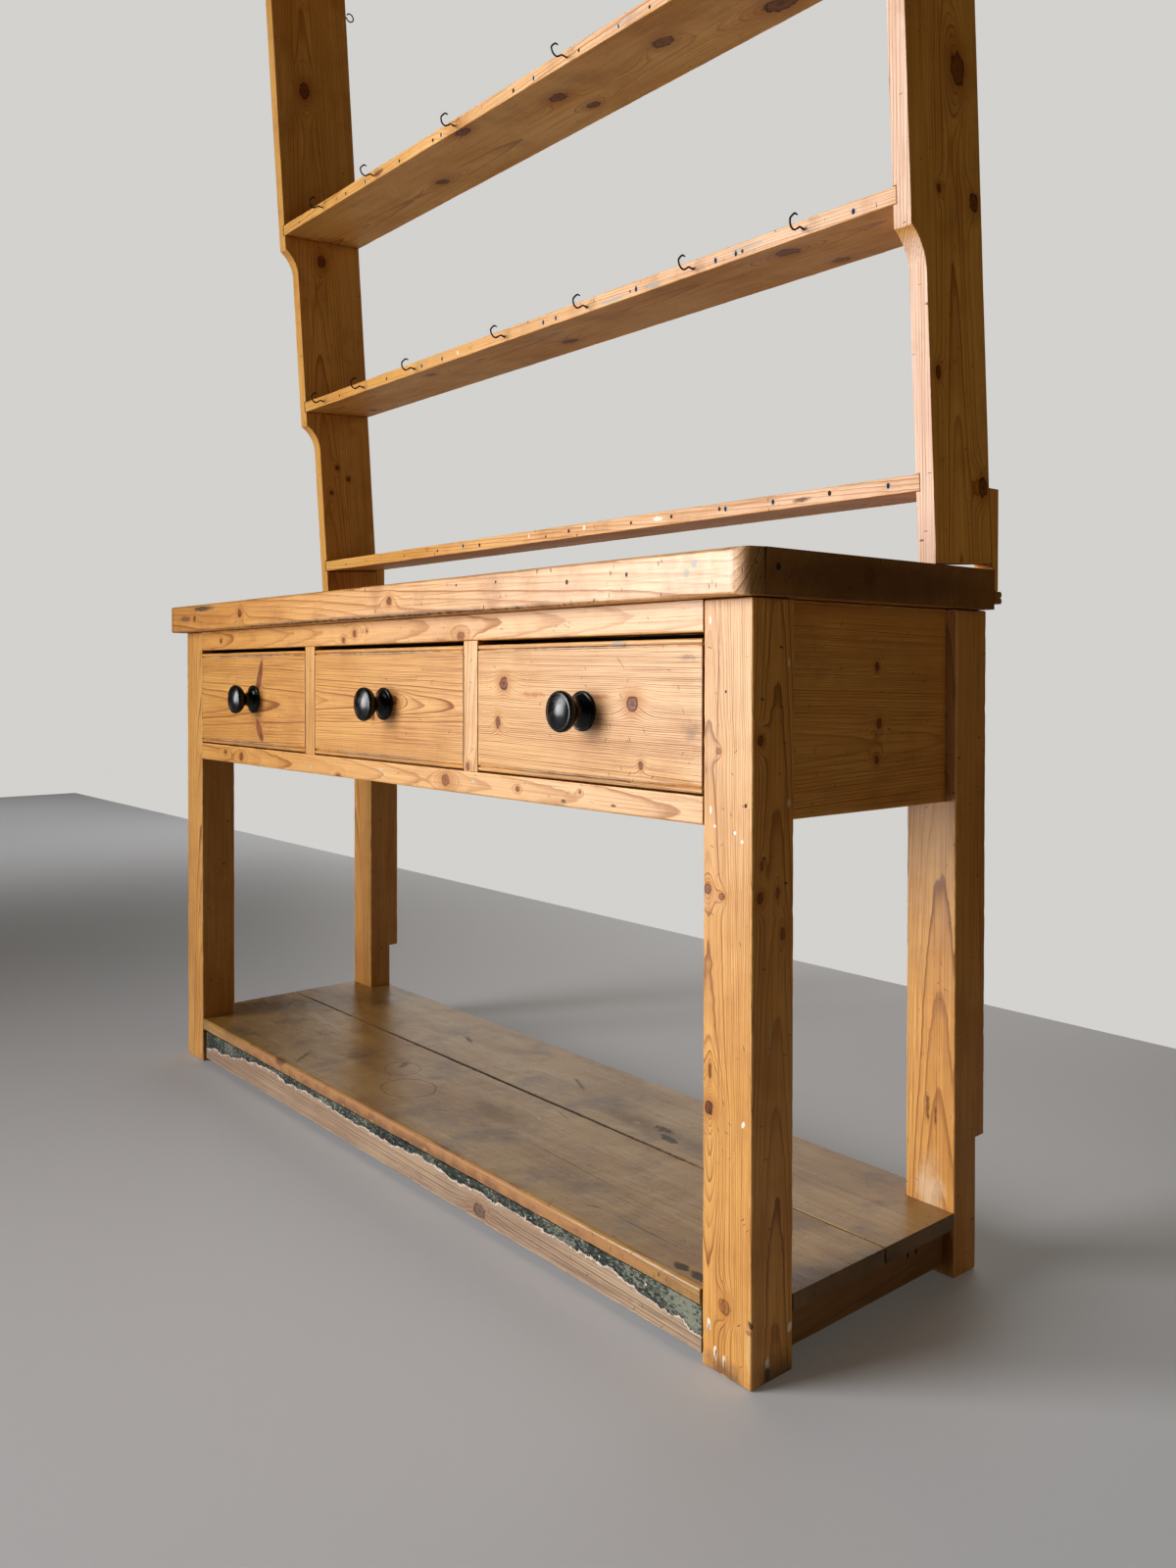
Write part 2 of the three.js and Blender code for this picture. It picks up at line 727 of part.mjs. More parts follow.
// The cornice's outline in (out from the rack, up): a fillet, a cove and a fillet.
function corniceOutline() {
  const shape = new THREE.Shape();
  const coveOut = corniceProjection - 2 * corniceFillet;
  const coveUp = corniceHeight - 2 * corniceFillet;
  const outer = corniceProjection - corniceFillet;
  shape.moveTo(jointGap, corniceHeight);
  shape.lineTo(jointGap, 0);
  shape.lineTo(corniceFillet, 0);
  shape.absellipse(outer, corniceFillet, coveOut, coveUp, Math.PI, Math.PI / 2, true);
  shape.lineTo(corniceProjection, corniceHeight - corniceFillet);
  shape.lineTo(corniceProjection, corniceHeight);
  return shape;
}

// A length of cornice that faces outwards and starts at a point on the rack's edge.
function corniceLength(out, start, length) {
  const up = new THREE.Vector3(0, 0, 1);
  const along = new THREE.Vector3().crossVectors(out, up);
  const geometry = new THREE.ExtrudeGeometry(corniceOutline(), {
    depth: length,
    bevelEnabled: false,
    curveSegments: coveSegments,
  });
  geometry.applyMatrix4(new THREE.Matrix4().makeBasis(out, up, along).setPosition(start));
  return solidOf(geometry);
}

const corniceFoot = rackSideHeight + jointGap + topBoardThickness - corniceHeight;
const corniceReach = corniceProjection + overrun;

// A prism that cuts a mitre at the rack's front corner, drawn in plan for the right side.
function mitreCutter(side, plan) {
  const corners = plan.map(([out, forward]) => [
    side * (rackHalfWidth + out),
    upperFront - forward,
  ]);
  const z = [corniceFoot - overrun, corniceFoot + corniceHeight + overrun];
  return drawOut(outlineOf(corners), "z", z);
}

function frontCornice() {
  const half = rackHalfWidth + corniceReach;
  const start = new THREE.Vector3(half, upperFront, corniceFoot);
  const front = corniceLength(new THREE.Vector3(0, -1, 0), start, 2 * half);
  const beyond = [
    [0, 0],
    [corniceReach, corniceReach],
    [corniceReach + overrun, corniceReach],
    [corniceReach + overrun, -overrun],
    [0, -overrun],
  ];
  return [-1, 1].reduce((cut, side) => cut.subtract(mitreCutter(side, beyond)), front);
}

// A side cornice is the same moulding turned, cut to the other half of the mitre.
function sideCornice(side) {
  const length = rackDepth - upperFront + corniceReach;
  const near = upperFront - corniceReach;
  const start = new THREE.Vector3(side * rackHalfWidth, side > 0 ? rackDepth : near, corniceFoot);
  const run = corniceLength(new THREE.Vector3(side, 0, 0), start, length);
  const mitreGap = jointGap * Math.SQRT2;
  const beyond = [
    [-overrun, -overrun - mitreGap],
    [corniceReach, corniceReach - mitreGap],
    [corniceReach, corniceReach + overrun],
    [-overrun, corniceReach + overrun],
  ];
  return run.subtract(mitreCutter(side, beyond));
}

// Ironwork

// The bent part of a hook, as shares of its reach: out from the shelf's edge, and up.
const hookShares = [
  [0.06, 0],
  [0.3, 0.05],
  [0.69, -0.13],
  [0.99, 0.17],
  [0.92, 0.4],
  [0.68, 0.58],
  [0.51, 0.55],
];

// A hook's shank runs straight into the shelf's front edge.
function cupHook(x) {
  const front = stageFronts[hookStage];
  const z = shelfUndersides[hookStage] + hookLift;
  const bent = hookShares.map(([outShare, upShare]) => [outShare * hookReach, upShare * hookReach]);
  const route = [[-shankLength, 0], [-shankLength / 2, 0], ...bent];
  const points = route.map(([out, up]) => new THREE.Vector3(x, front - out, z + up));
  const wire = new THREE.Shape().absarc(0, 0, wireRadius, 0, 2 * Math.PI, false);
  const geometry = new THREE.ExtrudeGeometry(wire, {
    steps: hookSteps,
    curveSegments: wireSides / 2,
    extrudePath: new THREE.CatmullRomCurve3(points),
  });
  return solidOf(geometry);
}

const eyeX = -(rackHalfWidth - rackSideThickness / 2);

// The eye stands behind the left side, its ring flat to the side's face.
function wallEye() {
  const middle = rackDepth + eyeReach - eyeRadius - wireRadius;
  const ring = new THREE.TorusGeometry(eyeRadius, wireRadius, wireSides, eyeSegments);
  ring.rotateY(Math.PI / 2).translate(eyeX, middle, eyeHeight);
  const length = middle - eyeRadius - rackDepth + shankLength;
  const shank = new THREE.CylinderGeometry(wireRadius, wireRadius, length, wireSides);
  shank.translate(eyeX, rackDepth - shankLength + length / 2, eyeHeight);
  return solidOf(ring).add(solidOf(shank));
}

function addBase(parent) {
  const base = new THREE.Group();
  for (const [sideName, side] of [["left", -1], ["right", 1]]) {
    addPiece(base, `leg_front_${sideName}`, leg(side, false), pine);
    addPiece(base, `leg_rear_${sideName}`, leg(side, true), pine);
    addPiece(base, `end_panel_${sideName}`, endPanel(side), pine);
    addPiece(base, `runner_${sideName}`, endRunner(side), darkPine);
    addPiece(base, `foot_rail_${sideName}`, endFootRail(side), darkPine);
    addPiece(base, `rack_cleat_${sideName}`, cleat(side), pine);
  }
  addPiece(base, "top_rail", rail(topRailRanges, railArris, 0, true), pine);
  addPiece(base, "bottom_rail", rail(bottomRailRanges, railArris, 0, false), pine);
  muntins.forEach((ranges, index) => {
    const sideName = index ? "right" : "left";
    addPiece(base, `muntin_${sideName}`, muntin(ranges), pine);
    addPiece(base, `runner_middle_${sideName}`, middleRunner(ranges), darkPine);
  });
  addPiece(base, "back_board", backBoard(), darkPine);
  addPiece(base, "foot_rail_rear", rearFootRail(), darkPine);
  addPiece(base, "plinth", blockOf(plinthRanges), rawPine);
  addPiece(base, "pot_board_front", frontPotBoard(), pine);
  addPiece(base, "pot_board_rear", rearPotBoard(), pine);
  addPiece(base, "worktop", worktop(), pine);
  addPiece(base, "rack_batten", batten(), pine);
  parent.add(base);
}

function addRack(parent) {
  const rack = new THREE.Group();
  for (const [sideName, side] of [["left", -1], ["right", 1]]) {
    addPiece(rack, `rack_side_${sideName}`, rackSide(side), pine);
    addPiece(rack, `cornice_${sideName}`, sideCornice(side), pine);
  }
  addPiece(rack, "shelf_lower", shelf(0), pine);
  addPiece(rack, "shelf_middle", hookedShelf(), pine);
  addPiece(rack, "shelf_upper", shelf(2), pine);
  addPiece(rack, "rack_top_board", topBoard(), pine);
  addPiece(rack, "cornice_front", frontCornice(), pine);
  addPiece(rack, "wall_eye", wallEye(), iron);
  hookPlaces.forEach((x, index) => addPiece(rack, `cup_hook_${index + 1}`, cupHook(x), iron));
  rack.position.set(0, rackFoot, rackFootHeight);
  rack.rotation.x = lean;
  parent.add(rack);
}

const dresser = new THREE.Group();
addBase(dresser);
["left", "middle", "right"].forEach((place, index) => {
  addDrawer(dresser, `drawer_${place}`, openings[index], knobOffsets[index]);
});
addRack(dresser);

// The front is the knobs or the worktop's edge, whichever stands out more; the rear is the batten.
const frontReach = Math.max(knobProjection, worktopFrontOverhang);
dresser.position.y = (frontReach - worktopRear - battenDepth) / 2;

export default dresser;
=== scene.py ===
"""The looks of an old pine dresser: waxed boards, knots, worn arrises, flaking paint and black knobs."""

import json
import logging
import math
from dataclasses import dataclass, field, replace
from enum import Enum
from functools import reduce
from typing import Callable

import bpy
from mathutils import Matrix, Quaternion, Vector


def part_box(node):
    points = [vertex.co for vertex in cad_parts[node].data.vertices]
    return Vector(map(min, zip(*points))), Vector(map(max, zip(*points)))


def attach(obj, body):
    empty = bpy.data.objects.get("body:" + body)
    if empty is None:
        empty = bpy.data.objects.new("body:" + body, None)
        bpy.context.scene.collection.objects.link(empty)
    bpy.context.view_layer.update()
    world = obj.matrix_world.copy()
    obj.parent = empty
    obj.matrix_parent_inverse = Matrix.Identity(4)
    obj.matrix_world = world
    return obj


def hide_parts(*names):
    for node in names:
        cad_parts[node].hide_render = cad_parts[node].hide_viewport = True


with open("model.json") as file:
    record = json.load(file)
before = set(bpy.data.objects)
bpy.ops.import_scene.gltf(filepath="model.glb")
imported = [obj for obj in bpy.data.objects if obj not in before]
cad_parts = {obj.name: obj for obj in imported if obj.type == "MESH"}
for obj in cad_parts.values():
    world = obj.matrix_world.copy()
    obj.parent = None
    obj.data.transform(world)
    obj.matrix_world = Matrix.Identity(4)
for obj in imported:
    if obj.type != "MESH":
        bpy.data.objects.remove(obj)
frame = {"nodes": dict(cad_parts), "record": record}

MM = 0.001
TOUCH = 0.05 * MM
MERGE = 0.01 * MM
LEAN = math.radians(3.56)
RACK_DEPTH = 113 * MM
BODIES = {node: body for body, members in frame["record"]["behaviour"]["bodies"].items() for node in members}

Colour = tuple[float, float, float]
Point = tuple[float, float, float]
Socket = bpy.types.NodeSocket
Tree = bpy.types.NodeTree
Node = bpy.types.Node
Material = bpy.types.Material
Piece = bpy.types.Object
Feed = Socket | float | tuple
log = logging.getLogger("dresser")


def rack_frame() -> Matrix:
    """Where the leaning rack stands: its own upright frame seen from the row frame.

    Returns:
        The matrix from the rack's frame, with y = 0 at the front of its lowest stage, to the row frame.
    """
    low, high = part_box("rack_side_left")
    foot = Vector((0, high.y - RACK_DEPTH * math.cos(LEAN), low.z))
    return Matrix.Translation(foot) @ Matrix.Rotation(LEAN, 4, "X")


UPRIGHT = Matrix.Identity(4)
LEANING = rack_frame()


class Graph:
    """Adds nodes to one node tree and joins them."""

    def __init__(self, tree: Tree) -> None:
        """Works on a tree."""
        self.tree = tree

    def add(self, kind: str, inputs: dict, **settings: object) -> Node:
        """One node with its settings, each input joined to a socket or set to a value.

        Args:
            kind: The node's type.
            inputs: What feeds each input, by the input's name or number.
            settings: The node's own properties.

        Returns:
            The new node.
        """
        node = self.tree.nodes.new(kind)
        for name, value in settings.items():
            setattr(node, name, value)
        self.feed(node, inputs)
        return node

    def feed(self, node: Node, inputs: dict) -> None:
        """Joins each of a node's inputs to a socket, or sets it to a value; a colour gets its alpha here.

        Args:
            node: The node.
            inputs: What feeds each input, by the input's name or number.
        """
        for key, value in inputs.items():
            socket = node.inputs[key]
            if isinstance(value, Socket):
                self.tree.links.new(value, socket)
            else:
                socket.default_value = (*value, 1.0) if socket.type == "RGBA" else value

    def math(self, operation: str, *values: Feed, clamp: bool = False) -> Socket:
        """The result of a sum on numbers."""
        node = self.add("ShaderNodeMath", dict(enumerate(values)), operation=operation, use_clamp=clamp)
        return node.outputs[0]

    def times(self, *values: Feed) -> Socket:
        """Numbers multiplied together."""
        return reduce(lambda first, second: self.math("MULTIPLY", first, second), values)

    def plus(self, *values: Feed) -> Socket:
        """Numbers added together."""
        return reduce(lambda first, second: self.math("ADD", first, second), values)

    def less(self, first: Feed, second: Feed) -> Socket:
        """One number less another."""
        return self.math("SUBTRACT", first, second)

    def over(self, first: Feed, second: Feed) -> Socket:
        """One number divided by another."""
        return self.math("DIVIDE", first, second)

    def scaled(self, value: Feed, factor: Feed, shift: Feed) -> Socket:
        """A number times a factor, and then shifted."""
        return self.math("MULTIPLY_ADD", value, factor, shift)

    def vector(self, operation: str, *values: Feed) -> Socket:
        """The result of a sum on vectors.

        Args:
            operation: The sum's name.
            values: What it works on.

        Returns:
            A number for a length or a dot product, and otherwise a vector.
        """
        keys = (0, "Scale") if operation == "SCALE" else range(len(values))
        node = self.add("ShaderNodeVectorMath", dict(zip(keys, values)), operation=operation)
        return node.outputs["Value" if operation in ("LENGTH", "DOT_PRODUCT") else "Vector"]

    def split(self, vector: Socket) -> tuple[Socket, ...]:
        """A vector's three parts."""
        node = self.add("ShaderNodeSeparateXYZ", {0: vector})
        return node.outputs[0], node.outputs[1], node.outputs[2]

    def join(self, x: Feed, y: Feed, z: Feed) -> Socket:
        """A vector made of three parts."""
        return self.add("ShaderNodeCombineXYZ", {0: x, 1: y, 2: z}).outputs[0]

    def turn(self, vector: Socket, angle: Feed) -> Socket:
        """A vector turned about its third axis."""
        inputs = {"Vector": vector, "Angle": angle}
        return self.add("ShaderNodeVectorRotate", inputs, rotation_type="Z_AXIS").outputs[0]

    def noise(self, vector: Socket, scale: float, detail: float = 2, roughness: float = 0.5) -> Socket:
        """Smooth noise from 0 to 1.

        Args:
            vector: Where the noise is read.
            scale: How many waves there are in a metre of that vector.
            detail: How many finer octaves are added.
            roughness: How strong the finer octaves are.

        Returns:
            The noise's value.
        """
        inputs = {"Vector": vector, "Scale": scale, "Detail": detail, "Roughness": roughness}
        return self.add("ShaderNodeTexNoise", inputs).outputs[0]

    def step(self, value: Feed, low: Feed, high: Feed, to_low: Feed = 0.0, to_high: Feed = 1.0) -> Socket:
        """A smooth step: to_low where the value is at low, to_high where it is at high."""
        inputs = {"Value": value, "From Min": low, "From Max": high, "To Min": to_low, "To Max": to_high}
        return self.add("ShaderNodeMapRange", inputs, interpolation_type="SMOOTHSTEP").outputs[0]

    def mix(self, factor: Feed, first: Feed, second: Feed, blend: str = "MIX") -> Socket:
        """Two colours mixed by a factor."""
        inputs = {0: factor, 6: first, 7: second}
        return self.add("ShaderNodeMix", inputs, data_type="RGBA", blend_type=blend).outputs[2]

    def group(self, tree: Tree, **inputs: Feed) -> Node:
        """A node group placed with its own values."""
        return self.add("ShaderNodeGroup", inputs, node_tree=tree)


def new_group(name: str, vectors: str, numbers: str, results: str) -> tuple[Tree, Graph, dict, Node]:
    """An empty node group with its sockets.

    Args:
        name: The group's name.
        vectors: The names of its inputs that are vectors, with spaces between them.
        numbers: The names of its inputs that are numbers.
        results: The names of its outputs, all numbers.

    Returns:
        The tree, a graph on it, its input sockets by name, and its output node.
    """
    tree = bpy.data.node_groups.new(name, "ShaderNodeTree")
    sockets = ((vectors, "INPUT", "Vector"), (numbers, "INPUT", "Float"), (results, "OUTPUT", "Float"))
    for labels, side, kind in sockets:
        for label in labels.split():
            tree.interface.new_socket(label, in_out=side, socket_type=f"NodeSocket{kind}")
    start = tree.nodes.new("NodeGroupInput")
    end = tree.nodes.new("NodeGroupOutput")
    return tree, Graph(tree), {socket.name: socket for socket in start.outputs if socket.name}, end


class Patterns:
    """The node groups that the finishes share."""

    def __init__(self) -> None:
        """Builds each group once."""
        self.figure = self._figure()
        self.knot = self._knot()
        self.blot = self._blot()
        self.edges = self._edges()
        self.specks = self._specks()
        self.scratches = self._scratches()

    def _figure(self) -> Tree:
        """Growth rings about a wandering pith, with the fibre along the board.

        Returns:
            The group. Vector is in the board's own frame, x along the grain, in metres.
        """
        numbers = "Ring Wander Taper Swell Seed"
        tree, g, at, end = new_group("Pine figure", "Vector Pith", numbers, "Ring Fibre Cloud")
        shift = g.join(g.times(at["Seed"], 3.7), g.times(at["Seed"], 1.3), at["Seed"])
        place = g.vector("ADD", at["Vector"], shift)
        slow = g.noise(g.vector("MULTIPLY", place, (1.8, 6.0, 6.0)), 1, 1)
        quick = g.noise(g.vector("MULTIPLY", place, (9.0, 60.0, 60.0)), 1, 2)
        wander = g.times(g.less(slow, 0.5), at["Wander"])
        flutter = g.times(g.less(quick, 0.5), 1.3 * MM)
        u, _, _ = g.split(at["Vector"])
        across = g.vector("MULTIPLY", g.vector("SUBTRACT", at["Vector"], at["Pith"]), (0.0, 1.0, 1.0))
        radius = g.vector("LENGTH", across)
        radius = g.plus(radius, wander, flutter, at["Swell"], g.times(u, at["Taper"]))
        rings = g.over(radius, at["Ring"])
        unevenness = g.noise(g.join(g.times(radius, 90.0), at["Seed"], 0.0), 1, 1)
        rings = g.plus(rings, g.times(unevenness, 2.2))
        whole = g.math("FLOOR", rings)
        part = g.less(rings, whole)
        chance = g.add("ShaderNodeTexWhiteNoise", {"W": whole}, noise_dimensions="1D").outputs[0]
        slope = g.times(g.step(part, 0.05, 0.9), 0.28)
        rise = g.scaled(g.step(part, 0.66, 0.93), 0.72, slope)
        fall = g.step(part, 0.95, 1.0, 1.0, 0.0)
        strength = g.scaled(chance, 0.75, 0.25)
        late = g.times(rise, fall, strength)
        fibre = g.noise(g.vector("MULTIPLY", place, (6.0, 620.0, 620.0)), 1, 3, 0.7)
        cloud = g.noise(g.vector("MULTIPLY", place, (4.0, 14.0, 14.0)), 1, 3, 0.6)
        g.feed(end, {"Ring": late, "Fibre": fibre, "Cloud": cloud})
        return tree

    def _knot(self) -> Tree:
        """A branch that runs through the board along its own axis.

        Returns:
            The group. It gives the branch's core, rim, rings and halo, and how far it swells the rings.
        """
        results = "Core Rim Rings Halo Swell"
        tree, g, at, end = new_group("Knot", "Vector Centre Axis", "Radius Stretch Above", results)
        away = g.vector("SUBTRACT", at["Vector"], at["Centre"])
        along = g.vector("SCALE", at["Axis"], g.vector("DOT_PRODUCT", away, at["Axis"]))
        flat = g.vector("SUBTRACT", away, along)
        u, v, w = g.split(flat)
        oval = g.join(g.over(u, at["Stretch"]), v, w)
        ragged = g.scaled(g.noise(at["Vector"], 110, 3, 0.6), 1.0, -0.5)
        near = g.plus(g.over(g.vector("LENGTH", oval), at["Radius"]), ragged)
        core = g.step(near, 0.90, 1.06, 1.0, 0.0)
        broken = g.step(g.noise(at["Vector"], 150, 2), 0.34, 0.48)
        rim = g.times(g.step(near, 0.72, 0.90), g.step(near, 0.98, 1.18, 1.0, 0.0))
        rings = g.scaled(g.math("SINE", g.times(near, 23.0)), 0.3, 0.25)
        heart = g.step(near, 0.15, 0.42, 1.0, 0.0)
        halo = g.math("POWER", g.step(near, 0.9, 3.4, 1.0, 0.0), 1.4)
        side = g.math("GREATER_THAN", u, 0.0)
        slim = g.plus(1.0, g.times(side, g.less(at["Above"], 1.0)))
        reach = g.times(at["Stretch"], 1.5, slim)
        wide = g.join(g.over(u, reach), v, w)
        reach = g.over(g.vector("LENGTH", wide), g.times(at["Radius"], 1.9))
        bell = g.math("EXPONENT", g.times(reach, reach, -1.0))
        swell = g.times(bell, at["Radius"], -1.5)
        g.feed(end, {
            "Core": core,
            "Rim": g.times(rim, broken),
            "Rings": g.math("MAXIMUM", rings, heart),
            "Halo": halo,
            "Swell": swell,
        })
        return tree

    def _blot(self) -> Tree:
        """An oval patch with a ragged edge: a stain, a burn, a filled hole.

        Returns:
            The group, with the patch's mask.
        """
        numbers = "Turn Soft Ragged Grit Hollow"
        tree, g, at, end = new_group("Blot", "Vector Centre Size", numbers, "Mask")
        away = g.vector("SUBTRACT", at["Vector"], at["Centre"])
        near = g.vector("LENGTH", g.vector("DIVIDE", g.turn(away, at["Turn"]), at["Size"]))
        grain = g.less(g.noise(at["Vector"], at["Grit"], 3, 0.6), 0.5)
        near = g.plus(near, g.times(grain, at["Ragged"]))
        inside = g.step(near, g.less(1.0, at["Soft"]), 1.0, 1.0, 0.0)
        outside = g.step(near, g.less(at["Hollow"], 0.05), at["Hollow"])
        g.feed(end, {"Mask": g.times(inside, outside)})
        return tree

    def _edges(self) -> Tree:
        """How far a point on a board lies from the nearest arris, and whether it is on an end.

        Returns:
            The group. Vector is in the board's own frame from its centre, Half is half of its size,
            and Soft is how far the end's darkness fades out round its corners, in metres.
        """
        tree, g, at, end = new_group("Board edges", "Vector Half", "Soft", "Arris End")
        inside = g.vector("SUBTRACT", at["Half"], g.vector("ABSOLUTE", at["Vector"]))
        a, b, c = g.split(inside)
        least = g.math("MINIMUM", g.math("MINIMUM", a, b), c)
        most = g.math("MAXIMUM", g.math("MAXIMUM", a, b), c)
        middle = g.less(g.plus(a, b, c), g.plus(least, most))
        on_end = g.step(g.less(a, least), 0.1 * MM, at["Soft"], 1.0, 0.0)
        g.feed(end, {"Arris": middle, "End": on_end})
        return tree

    def _specks(self) -> Tree:
        """Small round dots scattered at random: nail holes, flecks of paint.

        Returns:
            The group. Share is how many of its cells hold a dot, and Radius the dot's size in metres.
        """
        tree, g, at, end = new_group("Specks", "Vector", "Scale Share Radius", "Mask")
        cells = g.add("ShaderNodeTexVoronoi", {"Vector": at["Vector"], "Scale": at["Scale"]})
        chance, size, _ = g.split(cells.outputs["Color"])
        there = g.math("LESS_THAN", chance, at["Share"])
        spread = g.scaled(size, 0.8, 0.5)
        radius = g.times(at["Radius"], at["Scale"], spread)
        dot = g.step(g.over(cells.outputs["Distance"], radius), 0.75, 1.0, 1.0, 0.0)
        g.feed(end, {"Mask": g.times(dot, there)})
        return tree

    def _scratches(self) -> Tree:
        """Short ticks and scratches that lie in all directions.

        Returns:
            The group, with the scratches' mask.
        """
        tree, g, at, end = new_group("Scratches", "Vector", "Scale Share Seed", "Mask")
        total = None
        for turn, shift in ((0.3, 1.0), (1.2, 5.0), (2.3, 9.0)):
            turned = g.turn(at["Vector"], turn)
            moved = g.vector("ADD", turned, g.join(at["Seed"], shift, 0.0))
            thin = g.vector("MULTIPLY", moved, (1.0, 7.0, 1.0))
            cells = g.add("ShaderNodeTexVoronoi", {"Vector": thin, "Scale": at["Scale"]})
            chance, size, _ = g.split(cells.outputs["Color"])
            there = g.math("LESS_THAN", chance, at["Share"])
            mark = g.times(g.step(cells.outputs["Distance"], 0.05, 0.17, 1.0, 0.0), there)
            total = mark if total is None else g.math("MAXIMUM", total, mark)
        g.feed(end, {"Mask": total})
        return tree


PATTERNS = Patterns()


def new_material(name: str) -> tuple[Material, Graph, Node]:
    """A material with nothing joined yet.

    Args:
        name: The material's name.

    Returns:
        The material, a graph on its nodes, and its shader.
    """
    material = bpy.data.materials.new(name)
    material.use_nodes = True
    tree = material.node_tree
    return material, Graph(tree), tree.nodes["Principled BSDF"]


@dataclass(frozen=True)
class Knot:
    """A knot: its place in millimetres where the board stands square, its size and its branch's direction."""

    at: Point
    radius: float = 5.0
    stretch: float = 1.25
    axis: Point | None = None
    dark: float = 0.8
    above: float = 1.0


@dataclass(frozen=True)
class Mark:
    """A stain, burn, hole or filling: its place, half sizes and turn in the board's plane, in millimetres."""

    at: Point
    size: Point
    colour: Colour
    turn: float = 0.0
    soft: float = 0.4
    ragged: float = 0.5
    grit: float = 120.0
    strength: float = 0.8
    sunk: float = 0.0
    hollow: float = 0.0


class Lie(Enum):
    """How a board lies: the grain's direction and the direction across its face."""

    RAIL = ((1, 0, 0), (0, 0, 1))
    SHELF = ((1, 0, 0), (0, 1, 0))
    POST = ((0, 0, 1), (1, 0, 0))
    SIDE = ((0, 0, 1), (0, 1, 0))
    PANEL = ((0, 1, 0), (0, 0, 1))

    def axes(self) -> Matrix:
        """The board's own axes as columns."""
        along, across = (Vector(axis) for axis in self.value)
        return Matrix((along, across, along.cross(across))).transposed()


@dataclass(frozen=True)
class Pine:
    """Old pine: its colours, rings, wax and wear."""

    name: str
    early: Colour
    late: Colour
    deep: Colour
    halo: Colour
    core: Colour
    rim: Colour
    grime: Colour
    worn: Colour
    # The colour of the painted sheen, towards which front faces are painted where the window's light falls.
    sheen_colour: Colour = (0.77, 0.545, 0.37)
    contrast: float = 0.95
    ring: float = 2.8
    wander: float = 6.0
    taper: float = 0.02
    roughness: float = 0.47
    relief: float = 0.5
    coat: float = 0.10
    specular: float = 0.36
    arris_wear: float = 0.55
    nail_holes: float = 0.05
    flecks: float = 0.02
    scratches: float = 0.1
    dirt: float = 0.35
    soil: float = 0.3


@dataclass
class Board:
    """One board: the CAD node that it stands for, how it lies and what is seen on it."""

    node: str
    lie: Lie
    pine: Pine
    pith: tuple[float, float] = (15.0, -60.0)
    stand: Matrix = field(default_factory=lambda: UPRIGHT)
    arris: float = 1.5
    wear: float = 0.8
    chips: float = 0.0
    cut_every: float = 40.0
    knots: tuple[Knot, ...] = ()
    marks: tuple[Mark, ...] = ()
    ring: float | None = None
    seed: float = 0.0
    # How strongly the board's front faces are painted paler as painted sheen.
    fade: float = 0.0
    end_soft: float = 1.5
    end_dark: float = 0.55
    corner: float = 0.0
    finish: "type[PineMaterial] | None" = None

    def upright_box(self) -> tuple[Vector, Vector]:
        """The lowest and highest corners in the frame that the board stands square in.

        Returns:
            The two corners, in metres.
        """
        back = self.stand.inverted()
        points = [back @ vertex.co for vertex in frame["nodes"][self.node].data.vertices]
        low = Vector(min(point[axis] for point in points) for axis in range(3))
        high = Vector(max(point[axis] for point in points) for axis in range(3))
        return low, high

    def own_frame(self) -> tuple[Matrix, Vector]:
        """The board's own frame, from its centre, and half of its size there.

        Returns:
            The matrix to the row frame, and the half sizes along, across and through.
        """
        low, high = self.upright_box()
        axes = self.lie.axes()
        own = self.stand @ Matrix.Translation((low + high) / 2) @ axes.to_4x4()
        half = axes.transposed() @ ((high - low) / 2)
        return own, Vector(abs(part) for part in half)

    def seen_from_board(self, at: Point) -> Vector:
        """A place in millimetres, where the board stands square, seen from its own frame in metres."""
        own, _ = self.own_frame()
        return own.inverted() @ self.stand @ (Vector(at) * MM)


